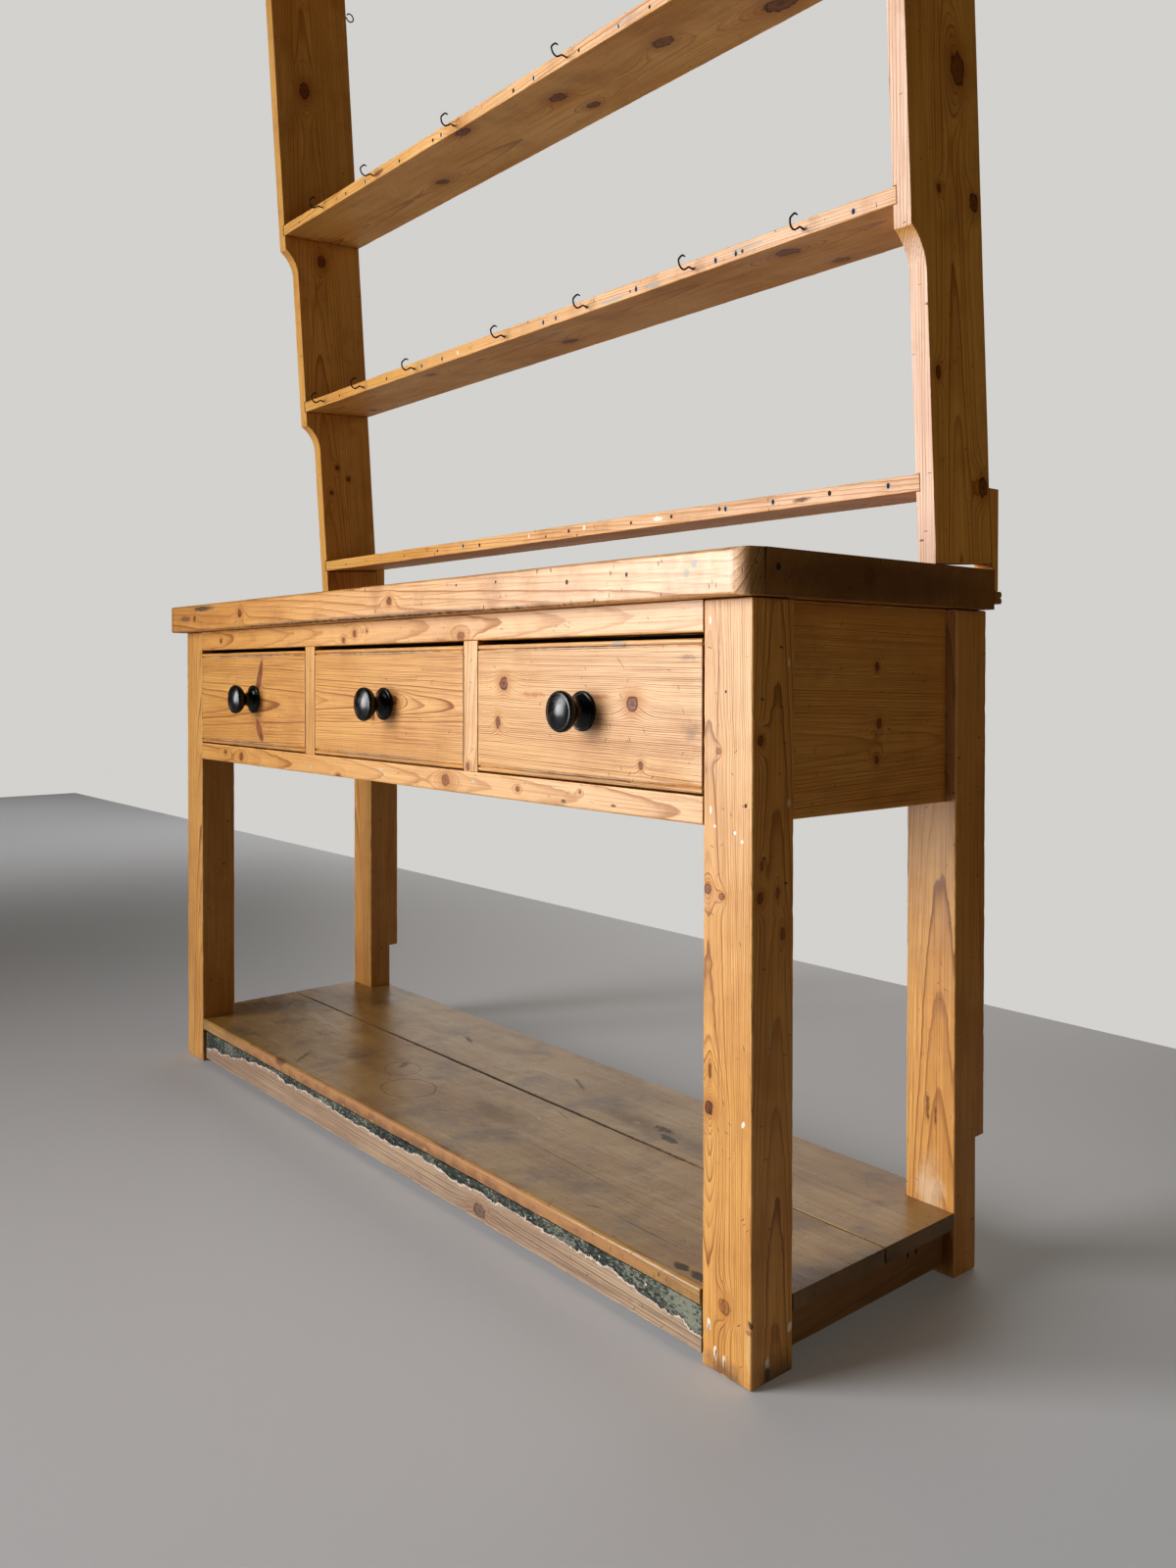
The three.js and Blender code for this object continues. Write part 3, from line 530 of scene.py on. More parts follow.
class PineMaterial:
    """Builds one board's material."""

    HOLE = (0.012, 0.008, 0.006)
    FLECK = (0.72, 0.72, 0.68)

    def __init__(self, board: Board) -> None:
        """Starts a material for a board.

        Args:
            board: The board.
        """
        self.board = board
        self.pine = board.pine
        self.material, self.g, self.shader = new_material(f"{board.pine.name}_{board.node}")
        self.own, self.half = board.own_frame()
        found = self.g.add("ShaderNodeTexCoord", {}).outputs
        self.where, self.facing = found["Object"], found["Normal"]
        place = {"Vector": self.where, "Location": self.own.translation, "Rotation": self.own.to_euler()}
        self.point = self.g.add("ShaderNodeMapping", place, vector_type="TEXTURE").outputs[0]

    def _knots(self) -> tuple[dict[str, Feed], Feed]:
        """The masks of all the board's knots together.

        Returns:
            Each mask by its name, and how far the rings swell.
        """
        g = self.g
        masks: dict[str, Feed] = {"Core": 0.0, "Rim": 0.0, "Halo": 0.0, "Rings": 0.0}
        swell: Feed = 0.0
        for knot in self.board.knots:
            own_axis = Vector((0.15, 0.1, 1.0))
            if knot.axis is not None:
                own_axis = self.own.to_3x3().inverted() @ Vector(knot.axis)
            node = g.group(
                PATTERNS.knot,
                Vector=self.point,
                Centre=self.board.seen_from_board(knot.at),
                Axis=own_axis.normalized(),
                Radius=knot.radius * MM,
                Stretch=knot.stretch,
                Above=knot.above,
            )
            shade = g.times(node.outputs["Core"], knot.dark)
            masks["Core"] = g.math("MAXIMUM", masks["Core"], shade)
            for label in ("Rim", "Halo"):
                part = g.times(node.outputs[label], knot.dark)
                masks[label] = g.math("MAXIMUM", masks[label], part)
            inside = g.times(node.outputs["Rings"], node.outputs["Core"])
            masks["Rings"] = g.math("MAXIMUM", masks["Rings"], inside)
            swell = g.plus(swell, node.outputs["Swell"])
        return masks, swell

    def build(self) -> Material:
        """Joins the figure, knots, marks, wear and wax.

        Returns:
            The finished material.
        """
        g, pine = self.g, self.pine
        knots, swell = self._knots()
        ring, fibre, cloud = self._rings(swell)
        colour = self._wood(ring, fibre, cloud, knots)
        colour = self._worn(colour)
        height = g.scaled(fibre, 0.35, g.times(ring, 0.45))
        height = g.less(height, g.times(knots["Rim"], 0.5))
        colour, height, dull = self._marks(colour, height)
        colour, height, dull = self.cover(colour, height, dull)
        height = g.plus(height, g.times(g.noise(self.point, 30, 2), 3.0))
        bump = g.add("ShaderNodeBump", {"Height": height, "Strength": 1.0, "Distance": pine.relief * MM})
        rough = g.scaled(ring, -0.08, pine.roughness)
        rough = g.plus(rough, g.scaled(cloud, 0.24, -0.12))
        rough = g.math("ADD", rough, g.times(dull, 0.3), clamp=True)
        g.feed(self.shader, {
            "Specular IOR Level": pine.specular,
            "Coat Weight": pine.coat,
            "Coat Roughness": 0.30,
            "Base Color": colour,
            "Roughness": rough,
            "Normal": bump.outputs[0],
        })
        return self.material

    def _rings(self, swell: Feed) -> list[Socket]:
        """The growth rings, the fibre and the slow clouds of colour.

        Args:
            swell: How far the knots swell the rings.

        Returns:
            The three values.
        """
        board, pine = self.board, self.pine
        figure = self.g.group(
            PATTERNS.figure,
            Vector=self.point,
            Pith=(0.0, board.pith[0] * MM, board.pith[1] * MM),
            Ring=(board.ring or pine.ring) * MM,
            Wander=pine.wander * MM,
            Taper=pine.taper,
            Swell=swell,
            Seed=board.seed,
        )
        return [figure.outputs[label] for label in ("Ring", "Fibre", "Cloud")]

    def _wood(self, ring: Feed, fibre: Feed, cloud: Feed, knots: dict[str, Feed]) -> Feed:
        """The colour of the clean wood.

        Args:
            ring: How dark the growth ring is.
            fibre: The fibre's value.
            cloud: The slow clouds' value.
            knots: The knots' masks by name.

        Returns:
            The colour.
        """
        g, pine = self.g, self.pine
        colour = g.mix(g.step(cloud, 0.35, 0.7), pine.early, pine.deep)
        # Painted sheen: front faces are painted paler towards the upper right, where the window's light falls.
        if self.board.fade > 0:
            colour = g.mix(self._painted_sheen(), colour, pine.sheen_colour)
        colour = g.mix(g.times(ring, pine.contrast), colour, pine.late)
        streak = g.times(g.step(fibre, 0.40, 0.70), 0.38)
        colour = g.mix(streak, colour, pine.late)
        patches = g.step(g.noise(g.vector("MULTIPLY", self.point, (3.0, 18.0, 18.0)), 1, 3, 0.6), 0.48, 0.66)
        soil = g.times(g.step(fibre, 0.50, 0.68), patches)
        colour = g.mix(g.times(soil, pine.soil), colour, pine.core)
        colour = g.mix(g.times(knots["Halo"], 0.7), colour, pine.halo)
        heart = g.mix(g.times(knots["Rings"], 0.8), pine.core, pine.rim)
        colour = g.mix(knots["Core"], colour, heart)
        return g.mix(g.times(knots["Rim"], 0.95), colour, pine.rim)

    def _worn(self, colour: Feed) -> Feed:
        """Pale worn arrises, grime in patches and dark ends.

        Args:
            colour: The clean wood's colour.

        Returns:
            The colour with the wear.
        """
        g, pine, board = self.g, self.pine, self.board
        edges = g.group(PATTERNS.edges, Vector=self.point, Half=self.half, Soft=board.end_soft * MM)
        uneven = g.scaled(g.noise(self.point, 45, 3, 0.6), 7 * MM, -3.5 * MM)
        close = g.plus(edges.outputs["Arris"], uneven)
        worn = g.times(g.step(close, 0.6 * MM, 3.2 * MM, 1.0, 0.0), pine.arris_wear)
        colour = g.mix(worn, colour, pine.worn)
        grimy = g.step(g.noise(self.point, 9, 4, 0.65), 0.48, 0.75)
        colour = g.mix(g.times(grimy, pine.dirt), colour, pine.grime)
        return g.mix(g.times(edges.outputs["End"], board.end_dark), colour, pine.rim)

    def _painted_sheen(self) -> Feed:
        """How far the front faces are painted paler as painted sheen: most at the upper right, where the
        window's light falls.

        Returns:
            The mask.
        """
        g = self.g
        x, _, z = g.split(self.where)
        _, ahead, _ = g.split(self.facing)
        front = g.step(ahead, -0.9, -0.5, 1.0, 0.0)
        reach = g.times(g.step(x, -0.55, 0.65), g.step(z, 0.34, 0.72))
        return g.times(front, reach, self.board.fade)

    def cover(self, colour: Feed, height: Feed, dull: Feed) -> tuple[Feed, Feed, Feed]:
        """What lies over the wood: nothing here."""
        return colour, height, dull

    def _marks(self, colour: Feed, height: Feed) -> tuple[Feed, Feed, Feed]:
        """Adds the marks named for the board, then nail holes, flecks and scratches at random.

        Args:
            colour: The colour so far.
            height: The height so far.

        Returns:
            The colour, the height and where the surface is dull.
        """
        g, pine, board = self.g, self.pine, self.board
        seeded = g.vector("ADD", self.point, (board.seed, board.seed * 2.1, board.seed * 0.7))
        dull: Feed = 0.0
        for mark in board.marks:
            node = g.group(
                PATTERNS.blot,
                Vector=self.point,
                Centre=board.seen_from_board(mark.at),
                Size=Vector(mark.size) * MM,
                Turn=math.radians(mark.turn),
                Soft=mark.soft,
                Ragged=mark.ragged,
                Grit=mark.grit,
                Hollow=mark.hollow,
            )
            mask = g.times(node.outputs[0], mark.strength)
            colour = g.mix(mask, colour, mark.colour)
            dull = g.math("MAXIMUM", dull, mask)
            if mark.sunk:
                height = g.less(height, g.times(node.outputs[0], mark.sunk))
        ticks = g.group(PATTERNS.scratches, Vector=seeded, Scale=40.0, Share=pine.scratches, Seed=board.seed)
        colour = g.mix(g.times(ticks.outputs[0], 0.8), colour, pine.rim)
        height = g.less(height, g.times(ticks.outputs[0], 0.6))
        holes = g.group(PATTERNS.specks, Vector=seeded, Scale=22.0, Share=pine.nail_holes, Radius=1.1 * MM)
        colour = g.mix(g.times(holes.outputs[0], 0.92), colour, self.HOLE)
        height = g.less(height, g.times(holes.outputs[0], 2.5))
        flecks = g.group(PATTERNS.specks, Vector=g.vector("ADD", seeded, (7.0, 3.0, 5.0)), Scale=26.0,
                         Share=pine.flecks, Radius=1.2 * MM)
        colour = g.mix(g.times(flecks.outputs[0], 0.8), colour, self.FLECK)
        return colour, height, dull


class FlakingPaint(PineMaterial):
    """Bare pine with old green paint left along its upper edge, with a pale rim where it broke away."""

    BORDER = ((-620, 29), (-578, 34), (-496, 40), (-430, 49), (-332, 53), (-300, 47), (-219, 51),
              (-130, 46), (-86, 45), (25, 45), (110, 50), (188, 46), (329, 46), (452, 44),
              (535, 40), (590, 33), (636, 27))
    GREEN = (0.044, 0.053, 0.043)
    SAGE = (0.215, 0.218, 0.168)
    INK = (0.008, 0.011, 0.012)
    PRIMER = (0.58, 0.48, 0.40)
    HAZE = (0.36, 0.26, 0.19)

    def cover(self, colour: Feed, height: Feed, dull: Feed) -> tuple[Feed, Feed, Feed]:
        """Lays the primer and the paint over the wood.

        Args:
            colour: The wood's colour.
            height: Its height.
            dull: Where it is dull.

        Returns:
            The three with the paint on.
        """
        g = self.g
        u, v, _ = g.split(self.point)
        first, last = self.BORDER[0][0], self.BORDER[-1][0]
        share = g.over(g.plus(g.over(u, self.half.x), 1.0), 2.0)
        curve = g.add("ShaderNodeFloatCurve", {"Value": share})
        points = curve.mapping.curves[0].points
        while len(points) < len(self.BORDER):
            points.new(0.5, 0.5)
        for point, (x, z) in zip(points, self.BORDER):
            point.location = ((x - first) / (last - first), z / 100)
            point.handle_type = "VECTOR"
        curve.mapping.update()
        border = g.less(g.times(curve.outputs[0], 100 * MM), self.own.translation.z)
        ragged = g.scaled(g.noise(self.point, 38, 6, 0.72), 26 * MM, -13 * MM)
        above = g.less(v, g.plus(border, ragged))
        rim = g.scaled(g.noise(self.point, 110, 2), 7 * MM, -1.0 * MM)
        primed = g.step(g.plus(above, rim), -0.4 * MM, 0.4 * MM)
        moved = g.vector("ADD", self.point, (3.0, 1.0, 2.0))
        lost = g.step(g.noise(moved, 95, 4, 0.7), 0.64, 0.67, 1.0, 0.0)
        painted = g.times(g.step(above, 0.0, 0.5 * MM), lost)
        mottle = g.noise(g.vector("MULTIPLY", self.point, (200.0, 420.0, 420.0)), 1, 4, 0.75)
        drift = g.scaled(g.noise(self.point, 14, 2), 0.5, -0.25)
        drift = g.plus(drift, g.times(g.step(u, 0.1, 0.6), 0.06))
        mottle = g.plus(mottle, drift)
        tone = g.mix(g.step(mottle, 0.53, 0.62), self.GREEN, self.SAGE)
        tone = g.mix(g.step(mottle, 0.38, 0.47, 1.0, 0.0), tone, self.INK)
        lowest = g.step(above, 1.0 * MM, 6.0 * MM, 1.0, 0.0)
        brink = g.times(lowest, g.step(mottle, 0.45, 0.55, 1.0, 0.3))
        tone = g.mix(g.times(brink, 0.8), tone, self.INK)
        haze = g.step(g.plus(above, 14 * MM), 0.0, 12 * MM)
        colour = g.mix(g.times(haze, 0.3), colour, self.HAZE)
        colour = g.mix(g.times(primed, 0.85), colour, self.PRIMER)
        colour = g.mix(painted, colour, tone)
        height = g.plus(height, g.times(g.plus(primed, painted), 1.4))
        height = g.plus(height, g.times(painted, mottle, 1.6))
        return colour, height, g.math("MAXIMUM", dull, g.times(primed, 0.6))


class Gloss:
    """Black paint on a knob: shiny, with fine dents and a few pale flecks."""

    PAINT = (0.0050, 0.0052, 0.0060)
    RUBBED = (0.020, 0.018, 0.017)
    FLECK = (0.17, 0.14, 0.11)

    def build(self) -> Material:
        """Joins the paint's parts.

        Returns:
            The finished material.
        """
        material, g, shader = new_material("black_gloss_paint")
        point = g.add("ShaderNodeTexCoord", {}).outputs["Object"]
        flecks = g.group(PATTERNS.specks, Vector=point, Scale=110.0, Share=0.10, Radius=0.55 * MM).outputs[0]
        rubbed = g.step(g.noise(point, 60, 4, 0.65), 0.52, 0.75)
        colour = g.mix(rubbed, self.PAINT, self.RUBBED)
        colour = g.mix(g.times(flecks, 0.7), colour, self.FLECK)
        rough = g.scaled(rubbed, 0.20, 0.24)
        height = g.scaled(g.noise(point, 190, 3), 0.8, flecks)
        bump = g.add("ShaderNodeBump", {"Height": height, "Strength": 0.35, "Distance": 0.10 * MM})
        g.feed(shader, {
            "Specular IOR Level": 0.34,
            "Coat Weight": 0.12,
            "Coat Roughness": 0.18,
            "Base Color": colour,
            "Roughness": rough,
            "Normal": bump.outputs[0],
        })
        return material


class BrownedIron:
    """Dark iron wire with a little rust."""

    IRON = (0.016, 0.013, 0.012)
    RUST = (0.060, 0.028, 0.014)

    def build(self) -> Material:
        """Joins the iron's parts.

        Returns:
            The finished material.
        """
        material, g, shader = new_material("browned_iron")
        point = g.add("ShaderNodeTexCoord", {}).outputs["Object"]
        rust = g.step(g.noise(point, 260, 3), 0.45, 0.65)
        colour = g.mix(rust, self.IRON, self.RUST)
        pits = {"Height": g.noise(point, 900, 2), "Strength": 0.4, "Distance": 0.1 * MM}
        g.feed(shader, {
            "Metallic": 0.55,
            "Base Color": colour,
            "Roughness": g.scaled(rust, 0.3, 0.38),
            "Normal": g.add("ShaderNodeBump", pits).outputs[0],
        })
        return material


def only(piece: Piece) -> None:
    """Selects one object alone and makes it the active one.

    Args:
        piece: The object.
    """
    bpy.ops.object.select_all(action="DESELECT")
    piece.hide_set(False)
    piece.select_set(True)
    bpy.context.view_layer.objects.active = piece


def weld() -> None:
    """Merges the active piece's doubled points and turns its faces outwards, and leaves it in edit mode."""
    bpy.ops.object.mode_set(mode="EDIT")
    bpy.ops.mesh.select_all(action="SELECT")
    bpy.ops.mesh.remove_doubles(threshold=MERGE)
    bpy.ops.mesh.normals_make_consistent(inside=False)


def bevel(width: float, segments: int) -> None:
    """Rounds the edges that are selected, to a width in millimetres."""
    bpy.ops.mesh.bevel(offset=width * MM, segments=segments, profile=0.5, affect="EDGES", clamp_overlap=True)


def pick_edges(piece: Piece, rule: Callable[[Vector, Vector], bool]) -> None:
    """Selects, in edge mode, each edge whose two ends pass a rule.

    Args:
        piece: The object, in edit mode.
        rule: Takes the edge's ends.
    """
    bpy.ops.mesh.select_mode(type="EDGE")
    bpy.ops.mesh.select_all(action="DESELECT")
    bpy.ops.object.mode_set(mode="OBJECT")
    vertices = piece.data.vertices
    for edge in piece.data.edges:
        edge.select = rule(*(vertices[index].co for index in edge.vertices))
    bpy.ops.object.mode_set(mode="EDIT")


def settle(piece: Piece, node: str | None, body: str) -> None:
    """Hides the CAD node that a finished piece stands for, and makes the piece ride on its body.

    Args:
        piece: The finished object.
        node: The CAD node, or None for a piece that the CAD doesn't have.
        body: The body that it moves with.
    """
    if node is not None:
        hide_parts(node)
    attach(piece, body)
    log.info("%s: %d faces", piece.name, len(piece.data.polygons))


class Joiner:
    """Turns a CAD board into a hand-worked one: eased arrises, worn and chipped, with smooth shading."""

    FLAT = math.radians(0.6)
    SMOOTH = math.radians(38)
    CORNER_REACH = 60 * MM
    WEAR_REACH = 4.5

    def __init__(self) -> None:
        """Makes the two textures that wear and chips follow."""
        self.slow = self._clouds("wear_clouds", 45 * MM, 1.0, 1.0)
        self.quick = self._clouds("chip_clouds", 11 * MM, 2.6, 0.45)

    def _clouds(self, name: str, size: float, contrast: float, intensity: float) -> bpy.types.Texture:
        """A cloud texture, never below zero.

        Args:
            name: Its name.
            size: Its wavelength in metres.
            contrast: How far it swings.
            intensity: How much of it is above zero.

        Returns:
            The texture.
        """
        texture = bpy.data.textures.new(name, "CLOUDS")
        texture.noise_scale = size
        texture.noise_depth = 2
        texture.contrast = contrast
        texture.intensity = intensity
        texture.use_clamp = True
        return texture

    def copy(self, board: Board) -> Piece:
        """A merged copy of the node's mesh, standing square.

        Args:
            board: The board to copy.

        Returns:
            The new object.
        """
        mesh = frame["nodes"][board.node].data.copy()
        mesh.materials.clear()
        mesh.transform(board.stand.inverted())
        piece = bpy.data.objects.new(f"{board.node}_board", mesh)
        bpy.context.scene.collection.objects.link(piece)
        only(piece)
        weld()
        bpy.ops.mesh.dissolve_limited(angle_limit=self.FLAT)
        return piece

    def ease(self, board: Board, piece: Piece, low: Vector, high: Vector) -> None:
        """Rounds a worn corner, and the sharp arrises on the board's box or a shaped side's outline.

        Args:
            board: The board.
            piece: Its copy, in edit mode.
            low: The lowest corner, standing square.
            high: The highest corner.
        """

        def at_ends(point: Vector, axis: int) -> int:
            """Which end of the box a point lies at along an axis.

            Args:
                point: The point.
                axis: The axis's number.

            Returns:
                -1 at the low end, 1 at the high end, and 0 between them.
            """
            if abs(point[axis] - low[axis]) < TOUCH:
                return -1
            return 1 if abs(point[axis] - high[axis]) < TOUCH else 0

        def on_box_edge(a: Vector, b: Vector) -> bool:
            """Whether an edge lies along one of the box's edges."""
            shared = [axis for axis in range(3) if at_ends(a, axis) and at_ends(a, axis) == at_ends(b, axis)]
            return len(shared) >= 2

        def on_outline(a: Vector, b: Vector) -> bool:
            """Whether an edge of a shaped side runs along its outline and not across at a housing."""
            same_face = at_ends(a, 0) and at_ends(a, 0) == at_ends(b, 0)
            return bool(same_face) and abs(a.z - b.z) > TOUCH or on_box_edge(a, b)

        def at_corner(a: Vector, b: Vector) -> bool:
            """Whether an edge stands upright at the front right corner."""
            upright = (a - b).xy.length < TOUCH < abs(a.z - b.z)
            return upright and a.x > high.x - self.CORNER_REACH and a.y < low.y + self.CORNER_REACH

        if board.corner > 0:
            pick_edges(piece, at_corner)
            bevel(board.corner, 5)
        shaped = board.lie is Lie.SIDE
        pick_edges(piece, on_outline if shaped else on_box_edge)
        bevel(board.arris, 3)

    def cut(self, board: Board, low: Vector, high: Vector) -> None:
        """Cuts the board across the grain at even steps, so that its arrises can wander.

        Args:
            board: The board, its copy in edit mode.
            low: The lowest corner.
            high: The highest corner.
        """
        along = Vector(board.lie.value[0])
        start, end = low.dot(along), high.dot(along)
        count = max(2, round((end - start) / (board.cut_every * MM)))
        for index in range(1, count):
            bpy.ops.mesh.select_all(action="SELECT")
            place = along * (start + (end - start) * index / count)
            bpy.ops.mesh.bisect(plane_co=place, plane_no=along)

    def wear(self, board: Board, piece: Piece, low: Vector, high: Vector) -> None:
        """Wears the arrises down, in long waves and in small chips.

        Args:
            board: The board.
            piece: Its copy, in object mode.
            low: The lowest corner.
            high: The highest corner.
        """
        name = "arris"
        group = piece.vertex_groups.new(name=name)
        reach = (board.arris + self.WEAR_REACH) * MM
        for vertex in piece.data.vertices:
            place = vertex.co
            inside = sorted(min(place[axis] - low[axis], high[axis] - place[axis]) for axis in range(3))
            near = inside[1] if board.lie is not Lie.SIDE else 0.0
            if near < reach:
                group.add([vertex.index], 1.0 - max(0.0, near) / reach, "REPLACE")
        for texture, strength in ((self.slow, board.wear), (self.quick, board.chips)):
            if strength <= 0:
                continue
            modifier = piece.modifiers.new("wear", "DISPLACE")
            modifier.texture = texture
            modifier.texture_coords = "LOCAL"
            modifier.vertex_group = name
            modifier.mid_level = 0.0
            modifier.strength = -strength * MM
            bpy.ops.object.modifier_apply(modifier=modifier.name)
        for vertex in piece.data.vertices:
            vertex.co = Vector(min(max(vertex.co[axis], low[axis]), high[axis]) for axis in range(3))

    def finish(self, piece: Piece) -> None:
        """Turns faces outwards and shades the piece smoothly between its flats.

        Args:
            piece: The piece, in object mode.
        """
        bpy.ops.object.mode_set(mode="EDIT")
        bpy.ops.mesh.select_all(action="SELECT")
        bpy.ops.mesh.normals_make_consistent(inside=False)
        bpy.ops.object.mode_set(mode="OBJECT")
        bpy.ops.object.shade_smooth_by_angle(angle=self.SMOOTH)
        modifier = piece.modifiers.new("weighted", "WEIGHTED_NORMAL")
        modifier.keep_sharp = True
        bpy.ops.object.modifier_apply(modifier=modifier.name)

    def make(self, board: Board) -> None:
        """Makes one finished board in its material, riding where its node rides.

        Args:
            board: The board to make.
        """
        low, high = board.upright_box()
        piece = self.copy(board)
        if board.arris > 0:
            self.ease(board, piece, low, high)
        self.cut(board, low, high)
        bpy.ops.object.mode_set(mode="OBJECT")
        self.wear(board, piece, low, high)
        self.finish(piece)
        piece.data.transform(board.stand)
        piece.data.materials.append((board.finish or PineMaterial)(board).build())
        settle(piece, board.node, BODIES[board.node])

    def dress(self, board: Board) -> None:
        """Gives the node's own mesh the board's material, where little of it is seen."""
        frame["nodes"][board.node].material_slots[0].material = (board.finish or PineMaterial)(board).build()


WAXED = Pine(
    name="waxed",
    early=(0.64, 0.340, 0.098),
    late=(0.28, 0.098, 0.014),
    deep=(0.55, 0.265, 0.062),
    halo=(0.40, 0.150, 0.026),
    core=(0.22, 0.058, 0.012),
    rim=(0.024, 0.007, 0.004),
    grime=(0.33, 0.125, 0.028),
    worn=(0.74, 0.42, 0.16),
)
LEG = replace(WAXED, name="leg", late=(0.21, 0.068, 0.011), contrast=1.0, soil=0.4)
RACK = replace(
    WAXED,
    name="rack",
    early=(0.78, 0.445, 0.135),
    late=(0.36, 0.140, 0.024),
    deep=(0.68, 0.350, 0.090),
    sheen_colour=(0.76, 0.56, 0.46),
    specular=0.2,
    coat=0.0,
    roughness=0.6,
)
FACE = replace(
    WAXED,
    name="drawer",
    late=(0.20, 0.060, 0.010),
    contrast=1.0,
    ring=2.6,
    soil=0.6,
    nail_holes=0.02,
    scratches=0.08,
    dirt=0.28,
)
TOP_WAX = replace(
    WAXED,
    name="top",
    early=(0.64, 0.335, 0.105),
    late=(0.30, 0.105, 0.020),
    deep=(0.52, 0.245, 0.065),
    grime=(0.24, 0.088, 0.022),
    worn=(0.56, 0.28, 0.09),
    roughness=0.38,
    nail_holes=0.16,
    scratches=0.2,
    dirt=0.5,
)
POT_WAX = Pine(
    name="pot_board",
    early=(0.44, 0.262, 0.082),
    late=(0.24, 0.120, 0.036),
    deep=(0.33, 0.178, 0.052),
    halo=(0.17, 0.08, 0.035),
    core=(0.07, 0.028, 0.016),
    rim=(0.020, 0.010, 0.008),
    grime=(0.105, 0.056, 0.030),
    worn=(0.30, 0.18, 0.09),
    contrast=0.5,
    coat=0.28,
    roughness=0.36,
    arris_wear=0.2,
    nail_holes=0.30,
    flecks=0.06,
    scratches=0.5,
    dirt=0.75,
    soil=0.55,
)
DARK = Pine(
    name="dark",
    early=(0.27, 0.140, 0.052),
    late=(0.17, 0.075, 0.024),
    deep=(0.20, 0.098, 0.034),
    halo=(0.16, 0.07, 0.025),
    core=(0.07, 0.028, 0.014),
    rim=(0.03, 0.013, 0.008),
    grime=(0.10, 0.050, 0.024),
    worn=(0.36, 0.20, 0.08),
    roughness=0.6,
    coat=0.0,
    nail_holes=0.12,
    dirt=0.5,
)
BARE = Pine(
    name="bare",
    early=(0.44, 0.315, 0.205),
    late=(0.10, 0.056, 0.034),
    deep=(0.34, 0.225, 0.150),
    halo=(0.28, 0.16, 0.09),
    core=(0.14, 0.075, 0.055),
    rim=(0.050, 0.032, 0.025),
    grime=(0.20, 0.145, 0.10),
    worn=(0.46, 0.36, 0.23),
    contrast=1.0,
    soil=0.6,
    ring=4.2,
    roughness=0.75,
    relief=0.6,
    coat=0.0,
    nail_holes=0.05,
    scratches=0.16,
)
INSIDE = replace(BARE, name="inside", dirt=0.2)

WHITE = (0.78, 0.76, 0.70)
GREY = (0.36, 0.38, 0.39)
BLACK = (0.016, 0.011, 0.010)


def hole(at: Point, size: float = 2.2, colour: Colour = BLACK) -> Mark:
    """A nail hole."""
    return Mark(at, (size, size, size * 1.2), colour, soft=0.35, ragged=0.3, strength=0.95, sunk=3)


def filler(at: Point, size: Point, turn: float = 0.0) -> Mark:
    """A ragged fleck of white filler."""
    return Mark(at, size, WHITE, turn, ragged=1.6, grit=200)


def nick(at: Point, size: Point) -> Mark:
    """A short dark cut."""
    return Mark(at, size, BLACK, strength=0.9)


def smear(at: Point, size: Point, colour: Colour, turn: float = 0.0, *, ragged: float,
          strength: float) -> Mark:
    """A stain that fades out towards its edge."""
    return Mark(at, size, colour, turn, soft=0.8, ragged=ragged, strength=strength)


def plug(at: Point, colour: Colour = GREY) -> tuple[Mark, Mark]:
    """A filled screw hole: a grey stain with a dark middle.

    Args:
        at: Its place in millimetres.
        colour: The stain's colour.

    Returns:
        The stain and its middle.
    """
    return (
        Mark(at, (5.4, 4.8, 4), colour, soft=0.4, ragged=0.5, strength=0.85),
        Mark(at, (2.3, 2.3, 4), BLACK, soft=0.3, ragged=0.4, strength=0.95, sunk=2),
    )


